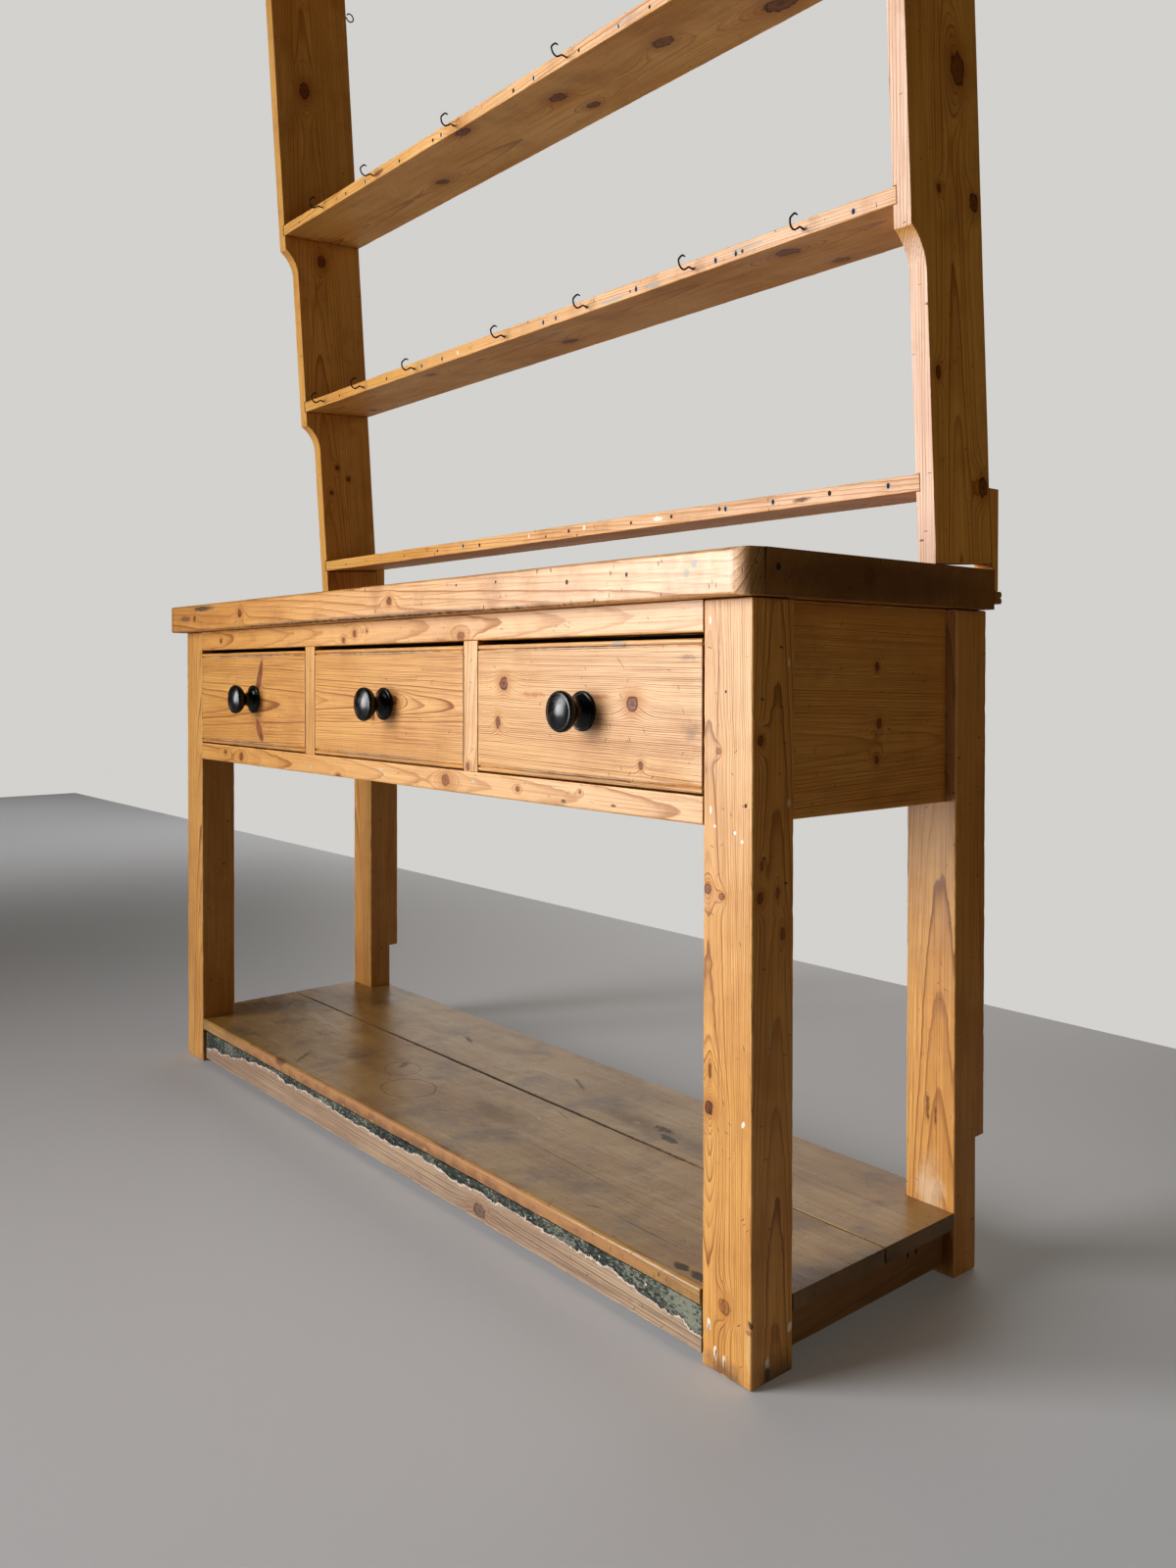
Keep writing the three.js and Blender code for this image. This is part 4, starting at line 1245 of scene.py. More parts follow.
class Studio:
    """The camera at the photograph's place, a pale floor and soft light from the front left."""

    EYE = Vector((1.5074, -1.07705, 0.7054))
    FORWARD = Vector((-0.76483, 0.64414, -0.01121))
    ROLL = math.radians(0.06)
    FOCAL_PIXELS = 1240.5
    PICTURE = (1200, 1600)
    OPTICAL_ROW = 702.8
    SENSOR = 36.0
    FLOOR_END = 1.25
    FLOOR_SIZE = 12
    FLOOR_GREY = (0.60, 0.607, 0.63)

    def camera(self) -> None:
        """Places the camera and gives it the photograph's view."""
        data = bpy.data.cameras.new("camera")
        tall = self.PICTURE[1]
        data.sensor_fit = "AUTO"
        data.sensor_width = self.SENSOR
        data.lens = self.FOCAL_PIXELS / tall * self.SENSOR
        data.shift_y = (self.OPTICAL_ROW - tall / 2) / tall
        data.clip_start = 0.05
        camera = bpy.data.objects.new("camera", data)
        aim = self.FORWARD.to_track_quat("-Z", "Y") @ Quaternion((0, 0, 1), self.ROLL)
        camera.location = self.EYE
        camera.rotation_euler = aim.to_euler()
        bpy.context.scene.collection.objects.link(camera)
        bpy.context.scene.camera = camera

    def floor(self) -> None:
        """A plain pale floor."""
        middle = (0, self.FLOOR_END - self.FLOOR_SIZE / 2, 0)
        bpy.ops.mesh.primitive_plane_add(size=self.FLOOR_SIZE, location=middle)
        floor = bpy.context.object
        floor.name = "studio_floor"
        bpy.ops.object.transform_apply(location=True, rotation=True, scale=True)
        material, g, shader = new_material("studio_floor")
        g.feed(shader, {
            "Base Color": self.FLOOR_GREY,
            "Roughness": 0.6,
            "Emission Color": (1.0, 1.0, 1.0),
            "Emission Strength": 0.04,
        })
        floor.data.materials.append(material)

    def lamp(self, name: str, place: Point, aim: Point, size: tuple[float, float],
             power: float, colour: Colour, spread: float) -> None:
        """One soft light.

        Args:
            name: The light's name.
            place: Where it hangs.
            aim: What it points at.
            size: Its width and height.
            power: Its power in watts.
            colour: Its colour.
            spread: How wide its beam is, in degrees.
        """
        data = bpy.data.lights.new(name, "AREA")
        data.shape = "RECTANGLE"
        data.size, data.size_y = size
        data.energy = power
        data.color = colour
        data.spread = math.radians(spread)
        lamp = bpy.data.objects.new(name, data)
        lamp.location = place
        lamp.rotation_euler = (Vector(aim) - Vector(place)).to_track_quat("-Z", "Y").to_euler()
        bpy.context.scene.collection.objects.link(lamp)

    def lights(self) -> None:
        """A tall window at the front left, the glow of a pale wall behind, and a dim surround."""
        self.lamp("window", (-1.35, -3.6, 1.5), (1.1, -0.1, 0.85), (2.2, 3.1), 60, (0.98, 0.985, 1.0), 78)
        self.lamp("wall", (-1.9, 1.9, 1.0), (-1.9, 0.0, 1.0), (4.8, 2.0), 26, (1.0, 0.98, 0.95), 180)
        self.lamp("far", (-4.6, -0.6, 2.6), (-4.6, -0.6, 0.0), (3.4, 5.0), 19, (1.0, 1.0, 1.0), 60)
        self.lamp("room", (6.0, 0.6, 1.9), (0.4, 0.1, 1.1), (4.0, 3.4), 27, (1.0, 0.80, 0.40), 180)
        world = bpy.data.worlds.new("surround")
        world.use_nodes = True
        g = Graph(world.node_tree)
        backdrop = g.add("ShaderNodeBackground", {"Color": (0.56, 0.555, 0.54), "Strength": 1.0})
        ambient = g.add("ShaderNodeBackground", {"Color": (1.0, 0.82, 0.56), "Strength": 0.035})
        seen = g.add("ShaderNodeLightPath", {}).outputs["Is Camera Ray"]
        both = g.add("ShaderNodeMixShader", {0: seen, 1: ambient.outputs[0], 2: backdrop.outputs[0]})
        g.feed(world.node_tree.nodes["World Output"], {0: both.outputs[0]})
        bpy.context.scene.world = world
        bpy.context.scene.view_settings.view_transform = "Standard"
        bpy.context.scene.view_settings.look = "Medium High Contrast"

    def build(self) -> None:
        """Sets the whole studio."""
        self.camera()
        self.floor()
        self.lights()


@dataclass
class BaseFrame:
    """The legs, rails, muntins, end panels and back of the base."""

    joiner: Joiner
    front: float = -190.35
    leg_arris: float = 2.6
    rail_arris: float = 1.0

    def legs(self) -> None:
        """The four legs, the front right one with the most to see."""
        y = self.front
        right_knots = (
            Knot((646, y, 266), 5.5, 1.2, dark=1.0),
            Knot((647, y, 304), 2.0, 5.0),
            Knot((648, y, 258), 10.0, 7.0, dark=0.0, above=0.22),
            Knot((669, y, 71), 6.0, 1.3, dark=0.55),
            Knot((663, y, 483), 4.0, 0.9, dark=0.7),
            Knot((643, y, 488), 4.4, 1.1, dark=0.8),
            Knot((658, y, 629), 3.0, 1.0, dark=0.6),
            Knot((704, -178, 641), 4.6, 1.2, (1, 0, 0.1)),
            Knot((704, -178, 486), 4.6, 1.3, (1, 0, 0.1)),
            Knot((704, -176, 518), 2.8, 1.6, (1, 0, 0.1), 0.6),
            Knot((704, -152, 488), 2.8, 2.0, (1, 0, 0.1), 0.6),
            Knot((704, -145, 447), 3.4, 2.0, (1, 0, 0.1), 0.6),
        )
        right_marks = (
            Mark((692, y, 261), (4.5, 2.2, 6), WHITE, -20, ragged=1.2),
            Mark((646, y, 761), (5, 1.6, 4), WHITE),
            Mark((647, y, 569), (5, 1.6, 4), WHITE),
            Mark((653, y, 553), (2, 2, 4), WHITE),
            Mark((680, y, 549), (3.2, 2.6, 4), WHITE, sunk=2),
            Mark((690, y, 541), (2.4, 2.2, 4), WHITE),
            filler((646, y, 44), (8, 2.6, 4)),
            nick((646, y, 42), (5, 0.9, 5)),
            filler((655, y, 20), (8, 2.6, 4), 4),
            nick((656, y, 19), (5, 0.9, 5)),
            filler((667, y, 15), (7, 2.4, 4)),
            nick((668, y, 13), (8, 0.9, 5)),
            filler((704, -166, 20), (8, 1.4, 5)),
            Mark((704, -166, 10), (9, 1.6, 5), BLACK, ragged=1.0, strength=0.9),
            filler((704, -132, 46), (6, 1.2, 5)),
            Mark((700, -188, 38), (34, 6, 7), (0.62, 0.38, 0.16), soft=0.7, ragged=1.1, strength=0.7),
            Mark((704, -163, 345), (20, 5, 3.4), (0.42, 0.36, 0.26), soft=0.8, strength=0.4),
            Mark((704, -136, 718), (7, 0.7, 4), WHITE, soft=0.5, strength=0.5),
            Mark((704, -136, 577), (7, 0.7, 4), WHITE, soft=0.5, strength=0.5),
            Mark((657, y, 680), (100, 1.0, 5), (0.20, 0.08, 0.03), -1.2, soft=0.6, ragged=0.6, strength=0.75),
            hole((695, y, 577), 2.2),
            hole((668, y, 689), 1.6),
            Mark((669, y, 0), (26, 44, 14), (0.12, 0.060, 0.030), soft=0.9, ragged=1.3, grit=45,
                 strength=0.75),
            Mark((704, -150, 0), (32, 14, 50), (0.13, 0.090, 0.060), soft=0.9, ragged=1.3, grit=45,
                 strength=0.8),
            Mark((702, y, 66), (5, 2.5, 6), BLACK, 20, ragged=1.2, strength=0.8),
            Mark((700, y, 58), (3, 3.5, 6), (0.25, 0.10, 0.05), ragged=1.2, strength=0.7),
        )
        rear_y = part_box("leg_rear_right")[0].y / MM
        rear_marks = (
            Mark((670, rear_y, 90), (60, 30, 6), (0.62, 0.47, 0.33), soft=0.9, ragged=1.3, grit=40,
                 strength=0.6),
            smear((667, rear_y, 190), (26, 4, 5), (0.10, 0.030, 0.014), ragged=1.6, strength=0.8),
            smear((678, rear_y, 184), (18, 2.5, 5), (0.10, 0.030, 0.014), ragged=1.6, strength=0.8),
            Mark((704, rear_y + 40, 104), (9, 9, 5), (0.40, 0.30, 0.20), soft=0.5, ragged=1.2, strength=0.6,
                 hollow=0.6),
        )
        for name, pith, knots, marks, seed in (
            ("leg_front_right", (-26, 5), right_knots, right_marks, 1.0),
            ("leg_front_left", (30, 62), (), (), 2.0),
            ("leg_rear_right", (14, 48), (), rear_marks, 3.0),
            ("leg_rear_left", (-30, 60), (), (), 4.0),
        ):
            self.joiner.make(Board(name, Lie.POST, LEG, pith, arris=self.leg_arris, wear=1.1, chips=0.8,
                                   cut_every=9, knots=knots, marks=marks, ring=2.2, seed=seed, fade=0.38))

    def rails(self) -> None:
        """The two rails over and under the drawers, and the muntins between them."""
        y = self.front
        top_knots = (Knot((-551, y, 765), 4, 1.0), Knot((-78, y, 766), 5, 1.0), Knot((-110, y, 757), 4, 1.2),
                     Knot((199, y, 755), 6, 1.2), Knot((-42, y, 769), 2.5, 1.0))
        low_knots = (Knot((-468, y, 565), 6, 1.1), Knot((-533, y, 570), 4, 1.4), Knot((163, y, 567), 7, 1.3),
                     Knot((-128, y, 553), 4, 1.4), Knot((321, y, 567), 3, 1.2), Knot((440, y, 572), 2, 1.0))
        pale = (0.40, 0.47, 0.40)
        low_marks = (
            Mark((-3, y, 571), (4, 2.5, 4), pale, ragged=1.5),
            Mark((8, y, 565), (3, 3, 4), pale, ragged=1.5),
            Mark((2, y, 560), (3, 2, 4), pale, ragged=1.5),
            Mark((-215, y, 563), (4, 3, 4), pale, ragged=1.5, strength=0.5),
            Mark((410, y, 559), (5, 3, 4), (0.05, 0.03, 0.02), ragged=1.5),
            Mark((498, y, 561), (6, 2, 4), (0.05, 0.03, 0.02), ragged=1.5),
            Mark((226, y, 569), (5, 2.5, 4), pale, ragged=1.5),
        )
        for name, pith, knots, marks, seed, fade in (
            ("top_rail", (2, -42), top_knots, (), 5.0, 0.7),
            ("bottom_rail", (-4, -36), low_knots, low_marks, 6.0, 0.8),
        ):
            self.joiner.make(Board(name, Lie.RAIL, WAXED, pith, arris=self.rail_arris, wear=1.0, chips=0.6,
                                   cut_every=12, knots=knots, marks=marks, seed=seed, fade=fade))
        muntin_knots = {"muntin_right": (Knot((215, y, 588), 4, 1.2),)}
        for seed, name in enumerate(("muntin_left", "muntin_right")):
            self.joiner.make(Board(name, Lie.POST, WAXED, (20, 40), arris=self.rail_arris, wear=0.6,
                                   knots=muntin_knots.get(name, ()), seed=7.0 + seed, fade=0.8))

    def panels(self) -> None:
        """The end panels and the board that closes the back."""
        knots = (Knot((690, 27, 715), 4.6, 0.8), Knot((690, 31, 653), 5.2, 0.8),
                 Knot((690, 27, 613), 4.6, 0.8))
        self.joiner.make(Board("end_panel_right", Lie.PANEL, WAXED, (-40, -48), arris=1.2,
                               knots=knots, ring=2.2, seed=9.0))
        self.joiner.make(Board("end_panel_left", Lie.PANEL, WAXED, (-20, 80), arris=1.2, seed=10.0))
        self.joiner.make(Board("back_board", Lie.RAIL, DARK, (20, 70), arris=1.0, seed=11.0))

    def build(self) -> None:
        """Makes the frame's boards."""
        self.legs()
        self.rails()
        self.panels()
        for seed, place in enumerate(("left", "middle_left", "middle_right", "right")):
            name = f"runner_{place}"
            self.joiner.dress(Board(name, Lie.PANEL, DARK, seed=40.0 + seed))


@dataclass
class Worktop:
    """The thick top, with its worn corner."""

    joiner: Joiner
    front: float = -214.35

    def build(self) -> None:
        """Makes the top."""
        y = self.front
        knots = (Knot((719, -25, 810), 9, 1.0, (1, 0, 0)), Knot((60, y, 806), 5, 1.2, (0, 1, 0.1)),
                 Knot((-420, y, 808), 6, 1.2, (0, 1, 0.1)), Knot((-610, y, 806), 4, 1.2, (0, 1, 0.1)))
        marks = (
            Mark((0, y, 786), (725, 12, 5), (0.10, 0.045, 0.018), soft=0.8, ragged=1.2, grit=28,
                 strength=0.65),
            # Painted shadow: a near-black line along the lower front edge and underside, where shade falls
            # under the overhang.
            Mark((0, y, 783.5), (725, 4, 3.6), (0.040, 0.018, 0.010), soft=0.5, ragged=1.5, grit=90,
                 strength=0.85),
            Mark((-560, y, 822), (150, 1.1, 6), BLACK, 1.0, soft=0.7, ragged=0.7, grit=40, strength=0.85),
            Mark((-660, y, 806), (60, 1.2, 6), (0.10, 0.03, 0.02), -2, soft=0.4, ragged=1.2, strength=0.7),
            Mark((719, -10, 806), (18, 230, 28), (0.13, 0.050, 0.012), soft=0.6, ragged=0.6, grit=25,
                 strength=0.75),
            Mark((647, y, 817), (5, 9, 6), GREY, 15, ragged=0.6, strength=0.75),
            Mark((636, y, 808), (5, 5, 6), (0.30, 0.36, 0.30), ragged=0.6, strength=0.6),
            hole((546, y, 812)),
            hole((446, y, 810), 2.6),
            hole((224, y, 819), 1.8),
            hole((309, y, 818), 1.8),
            hole((719, -201, 815), 3.4),
            hole((719, -170, 812), 3.6),
        )
        self.joiner.make(Board("worktop", Lie.SHELF, TOP_WAX, (-60, -55), arris=1.2, wear=1.6, chips=1.2,
                               cut_every=8, knots=knots, marks=marks, ring=3.4, seed=12.0, fade=0.75,
                               end_soft=16.0, corner=12.0))


class KnobTurner:
    """Turns a knob: a foot with a sunk ring, a waist, and a domed head with a sunk ring inside its rim."""

    FOOT = ((22.4, 0.0), (23.1, 0.4), (23.4, 1.6), (22.9, 2.9), (22.1, 3.5),
            (21.2, 3.7), (20.6, 3.3), (20.0, 3.5), (19.3, 4.3), (18.3, 5.5))
    WAIST = ((15.7, 7.0), (13.6, 8.8), (11.9, 11.0), (10.9, 13.5), (10.5, 16.5), (11.0, 18.8), (12.8, 20.8),
             (15.8, 22.6))
    HEAD = ((19.0, 24.0), (21.6, 26.2), (23.2, 29.0), (23.9, 32.0), (23.7, 34.2), (22.9, 35.9), (21.7, 36.8),
            (20.9, 36.9), (20.3, 36.7), (19.6, 37.1), (16.0, 38.8), (11.0, 40.5), (5.5, 41.6), (1.0, 41.9))
    SEGMENTS = 48

    def turn(self, name: str, place: Vector) -> Piece:
        """One knob with its foot's middle at a place, standing out towards the front.

        Args:
            name: The knob's name.
            place: The middle of its foot.

        Returns:
            The knob.
        """
        profile = [(radius * MM, out * MM) for radius, out in self.FOOT + self.WAIST + self.HEAD]
        bpy.ops.object.select_all(action="DESELECT")
        bpy.ops.mesh.primitive_circle_add(
            vertices=self.SEGMENTS, radius=profile[0][0], fill_type="NGON", rotation=(math.pi / 2, 0, 0)
        )
        piece = bpy.context.object
        piece.name = name
        bpy.ops.object.transform_apply(location=True, rotation=True, scale=True)
        bpy.ops.object.mode_set(mode="EDIT")
        bpy.ops.mesh.select_all(action="SELECT")
        for (wide, far), (radius, out) in zip(profile, profile[1:]):
            bpy.ops.mesh.extrude_region_move(TRANSFORM_OT_translate={"value": (0, far - out, 0)})
            share = radius / wide
            bpy.ops.transform.resize(value=(share, 1, share), center_override=(0, -out, 0))
        weld()
        bpy.ops.object.mode_set(mode="OBJECT")
        modifier = piece.modifiers.new("round", "SUBSURF")
        modifier.levels = modifier.render_levels = 1
        bpy.ops.object.modifier_apply(modifier=modifier.name)
        bpy.ops.object.shade_smooth()
        piece.data.transform(Matrix.Translation(place))
        return piece


@dataclass
class Drawer:
    """One drawer: its front with what is seen on it, its knob and its hidden boards."""

    joiner: Joiner
    side: str
    pith: tuple[float, float]
    knots: tuple[Knot, ...] = ()
    marks: tuple[Mark, ...] = ()
    ring: float = 2.5
    seed: float = 30.0
    bead_drop: float = 7.0
    # How strongly the front is painted paler as painted sheen.
    fade: float = 0.3

    def quirks(self) -> tuple[Mark, ...]:
        """The pale dirt in the grooves along the two beads.

        Returns:
            One long ragged mark for each groove.
        """
        low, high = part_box(f"drawer_{self.side}_front")
        middle, half = (low.x + high.x) / 2 / MM, (high.x - low.x) / 2 / MM
        pale, dark = (0.62, 0.50, 0.36), (0.13, 0.055, 0.020)
        found = []
        for z in (low.z / MM + self.bead_drop, high.z / MM - self.bead_drop):
            at = (middle, low.y / MM, z)
            found.append(Mark(at, (half, 2.8, 8), dark, soft=0.7, ragged=0.7, grit=60, strength=0.75))
            found.append(Mark(at, (half, 0.9, 8), pale, soft=0.5, ragged=1.8, grit=45, strength=0.7))
        dirty = (0.30, 0.155, 0.070)
        foot = (middle, low.y / MM, low.z / MM + 3)
        found.append(Mark(foot, (half, 4.0, 8), dirty, soft=0.7, ragged=0.9, grit=30, strength=0.6))
        return tuple(found)

    def build(self, turner: KnobTurner, gloss: Material) -> None:
        """Makes the front and the knob, and gives the hidden boards their material.

        Args:
            turner: Makes the knob.
            gloss: The knob's material.
        """
        name = f"drawer_{self.side}"
        self.joiner.make(Board(f"{name}_front", Lie.RAIL, FACE, self.pith, arris=0.7, wear=0.7, chips=0.3,
                               cut_every=16, knots=self.knots, marks=self.marks + self.quirks(),
                               ring=self.ring, seed=self.seed, fade=self.fade))
        low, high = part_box(f"{name}_knob")
        front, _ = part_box(f"{name}_front")
        place = Vector(((low.x + high.x) / 2, front.y, (low.z + high.z) / 2))
        knob = turner.turn(f"{name}_turned_knob", place)
        knob.data.materials.append(gloss)
        settle(knob, f"{name}_knob", name)
        hidden = {"side_left": Lie.PANEL, "side_right": Lie.PANEL, "back": Lie.RAIL, "bottom": Lie.SHELF}
        for step, (part, lie) in enumerate(hidden.items()):
            self.joiner.dress(Board(f"{name}_{part}", lie, INSIDE, (40, 90), seed=self.seed + 2.0 + step))


@dataclass
class PotBoard:
    """The two boards near the floor, the painted plinth under them and the rails."""

    joiner: Joiner

    def build(self) -> None:
        """Makes the boards, the plinth and the rails."""
        wine = (0.13, 0.055, 0.045)
        smoke = (0.12, 0.080, 0.050)
        front = (
            Mark((0, -190, 67), (660, 5, 14), (0.36, 0.170, 0.066), soft=0.25, ragged=0.5, strength=0.8),
            Mark((0, -189, 62), (660, 6, 12), (0.15, 0.066, 0.028), soft=0.9, ragged=2.2, grit=40,
                 strength=0.75),
            Mark((0, 27, 76), (660, 3.0, 6), BLACK, soft=0.7, ragged=0.6, strength=0.85),
            Mark((591, -174, 78), (13, 8, 6), BLACK, ragged=1.0),
            Mark((617, -176, 78), (14, 7, 6), BLACK, 20, ragged=1.2),
            smear((-175, -46, 78), (24, 10, 6), wine, 50, ragged=1.2, strength=0.7),
            smear((-317, -151, 78), (46, 6, 6), wine, 50, ragged=1.4, strength=0.6),
            Mark((-326, -188, 75), (22, 9, 9), (0.10, 0.03, 0.02), soft=0.7, ragged=1.2, strength=0.8),
            smear((287, -91, 78), (130, 1.3, 6), BLACK, 2, ragged=1.6, strength=0.7),
            Mark((100, -60, 78), (90, 40, 8), smoke, soft=0.9, ragged=0.8, strength=0.4, grit=30),
            smear((420, -150, 78), (16, 2, 6), BLACK, -20, ragged=1.6, strength=0.7),
            smear((152, -25, 78), (12, 1, 6), WHITE, 30, ragged=1.6, strength=0.5),
            Mark((-75, -98, 78), (46, 40, 9), BLACK, soft=0.04, ragged=0.5, grit=12, strength=0.5,
                 hollow=0.95),
            Mark((-160, -60, 78), (36, 30, 9), wine, soft=0.04, ragged=0.7, grit=14, strength=0.4,
                 hollow=0.93),
            smear((164, 9, 78), (30, 1.2, 6), BLACK, 14, ragged=1.2, strength=0.8),
            smear((36, -113, 78), (20, 1.2, 6), BLACK, -32, ragged=1.2, strength=0.8),
            Mark((-240, -80, 78), (60, 26, 8), wine, 10, soft=0.9, ragged=1.2, grit=30, strength=0.35),
        )
        rear = (
            Mark((0, 29.5, 76), (660, 2.5, 6), BLACK, soft=0.7, ragged=0.6, strength=0.85),
            smear((-219, 110, 78), (26, 6, 6), BLACK, 20, ragged=1.4, strength=0.7),
            smear((78, 111, 78), (40, 4, 6), BLACK, 25, ragged=1.4, strength=0.6),
            Mark((297, 81, 78), (20, 9, 6), BLACK, ragged=1.6, strength=0.75),
            Mark((325, 62, 78), (24, 9, 6), BLACK, 15, ragged=1.6, strength=0.75),
            Mark((250, 70, 78), (120, 30, 8), smoke, soft=0.9, ragged=0.9, strength=0.5, grit=30),
        )
        self.joiner.make(Board("pot_board_front", Lie.SHELF, POT_WAX, (30, -80), arris=1.0, wear=1.2,
                               chips=1.0, cut_every=9, marks=front, ring=4.0, seed=13.0))
        self.joiner.make(Board("pot_board_rear", Lie.SHELF, POT_WAX, (-40, -90), arris=1.0, wear=0.8,
                               cut_every=30, marks=rear, ring=4.0, seed=14.0))
        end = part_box("foot_rail_right")[1]
        holes = tuple(Mark((end.x / MM, y, 46), (2.2, 4.5, 5), BLACK, ragged=0.8, strength=0.95, sunk=3)
                      for y in (88, 104))
        for seed, (name, marks) in enumerate((("foot_rail_left", ()), ("foot_rail_right", holes))):
            self.joiner.make(Board(name, Lie.PANEL, DARK, (5, -40), arris=1.0, marks=marks, seed=15.0 + seed))
        self.joiner.make(Board("foot_rail_rear", Lie.RAIL, DARK, (5, -40), arris=1.0, seed=17.0))
        knots = (Knot((240, -190, 23), 8, 1.6, dark=0.7),)
        marks = (Mark((211, -190, 21), (14, 4, 4), (0.26, 0.13, 0.09), soft=0.7, ragged=1.2, strength=0.6),)
        self.joiner.make(Board("plinth", Lie.RAIL, BARE, (-150, 30), arris=0.8, wear=1.2, chips=1.0,
                               cut_every=10, knots=knots, marks=marks, seed=29.0, finish=FlakingPaint))


@dataclass
class Rack:
    """The leaning rack: sides, shelves, top and cornice, with the batten and cleats at its foot."""

    joiner: Joiner
    fronts: tuple[float, float, float] = (0.0, -26.0, -50.0)

    def upright_knots(self, z: float, rows: tuple[tuple[float, ...], ...]) -> tuple[Knot, ...]:
        """Knots seen on a shelf's underside, their branches nearly upright.

        Args:
            z: The underside's height.
            rows: Each knot's x, y, radius, stretch and darkness.

        Returns:
            The knots.
        """
        branch = (0, 0.1, 1)
        return tuple(Knot((x, y, z), radius, stretch, branch, dark) for x, y, radius, stretch, dark in rows)

    def side_knots(self, x: float, rows: tuple[tuple[float, ...], ...]) -> tuple[Knot, ...]:
        """Knots seen on a side's face, their branches straight across it.

        Args:
            x: The face's place.
            rows: Each knot's y, z, radius and stretch.

        Returns:
            The knots.
        """
        return tuple(Knot((x, y, z), radius, stretch, (1, 0, 0)) for y, z, radius, stretch in rows)

    def sides(self) -> None:
        """The two shaped sides."""
        right = self.side_knots(717, (
            (72, 559, 12, 1.5),
            (98, 414, 8, 1.3),
            (28, 418, 4, 1.2),
            (16, 214, 5, 1.3),
            (99, 89, 9, 1.2),
        ))
        left = self.side_knots(-693, (
            (11, 1025, 10, 1.5),
            (27, 697, 8, 1.4),
            (36, 290, 4, 1.2),
            (60, 268, 4, 1.2),
            (20, 240, 3.5, 1.2),
        ))
        for name, pith, knots, seed in (
            ("rack_side_right", (20, -60), right, 18.0),
            ("rack_side_left", (-20, 60), left, 19.0),
        ):
            self.joiner.make(Board(name, Lie.SIDE, RACK, pith, LEANING, arris=1.2, wear=0.5, cut_every=20,
                                   knots=knots, seed=seed, fade=0.9, end_dark=0.0))

    def shelves(self) -> None:
        """The three shelves, their front edges full of nail holes, fillings and hooks' stains."""
        low, middle, high = self.fronts
        hooks = [sum(corner.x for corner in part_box(f"cup_hook_{number}")) / 2 / MM for number in range(1, 8)]
        low_nails = ((-615, 91, 1.6), (-537, 92, 1.4), (-400, 92, 1.8), (-291, 92, 2.4),
                     (-163, 92, 3.0), (16, 91, 2.0), (73, 94, 2.6), (214, 93, 2.4),
                     (297, 94, 2.6), (388, 95, 2.6), (571, 95, 3.0))
        low_marks = (
            *(hole((x, low, z), size) for x, z, size in low_nails),
            *(mark for x in (-211, 399, 481, 656) for mark in plug((x, low, 94))),
            Mark((270, low, 94), (13, 4, 4), WHITE, 10, ragged=1.2, strength=0.9),
            Mark((110, low, 96), (4, 6, 4), WHITE, 20, ragged=1.2, strength=0.8),
            Mark((540, low, 92), (90, 0.9, 4), (0.08, 0.04, 0.03), 3, soft=0.7, ragged=1.5, strength=0.8),
            Mark((-27, low, 95), (2.5, 2.5, 4), WHITE, strength=0.7),
        )
        middle_marks = (
            *(hole((x, middle, 405), size) for x, size in ((-557, 1.8), (-385, 2.6), (262, 1.6), (470, 2.4))),
            *(mark for x in (-269, -206, 68, 98, 274, 424, 459, 640) for mark in plug((x, middle, 405))),
            smear((227, middle, 402), (50, 4, 4), GREY, 3, ragged=1.0, strength=0.7),
            Mark((308, middle, 402), (16, 7, 4), GREY, ragged=1.2, strength=0.7),
            smear((480, middle, 408), (40, 6, 4), GREY, ragged=1.2, strength=0.6),
            Mark((-160, middle, 406), (3, 3, 4), WHITE, strength=0.7),
            *(Mark((x, middle, 404.5), (6, 5, 4), (0.26, 0.19, 0.16), soft=0.6, ragged=0.8, strength=0.75)
              for x in hooks),
        )
        high_nails = ((-632, 2.0), (-451, 2.6), (-268, 2.6), (-165, 3.0), (53, 3.0), (205, 2.4), (348, 2.4))
        high_marks = (
            *(hole((x, high, 744), size) for x, size in high_nails),
            *(mark for x in (-382, -141, 102, 287) for mark in plug((x, high, 744), (0.55, 0.57, 0.50))),
            Mark((-335, high, 745), (17, 10, 6), (0.16, 0.07, 0.045), soft=0.4, ragged=1.0, strength=0.8),
            smear((300, high, 746), (40, 8, 4), GREY, ragged=1.2, strength=0.5),
        )
        middle_knots = self.upright_knots(396.5, (
            (-289, 5, 7, 1.6, 0.6),
            (-623, 83, 7, 1.6, 0.6),
            (22, 63, 9, 1.6, 0.7),
            (515, 7, 11, 1.5, 0.7),
            (530, 92, 8, 1.5, 0.6),
        ))
        high_knots = self.upright_knots(736, (
            (-293, 53, 9, 1.5, 0.8),
            (-97, -38, 9, 1.8, 0.8),
            (85, 9, 10, 1.6, 0.8),
            (95, 70, 8, 1.5, 0.8),
            (300, 20, 11, 1.5, 0.7),
            (463, 74, 16, 1.5, 0.8),
        ))
        for name, pith, knots, marks, seed in (
            ("shelf_lower", (20, -40), (), low_marks, 20.0),
            ("shelf_middle", (-30, -50), middle_knots, middle_marks, 21.0),
            ("shelf_upper", (25, 45), high_knots, high_marks, 22.0),
        ):
            self.joiner.make(Board(name, Lie.SHELF, RACK, pith, LEANING, arris=0.8, wear=1.2, chips=0.9,
                                   cut_every=10, knots=knots, marks=marks, seed=seed, fade=0.7))

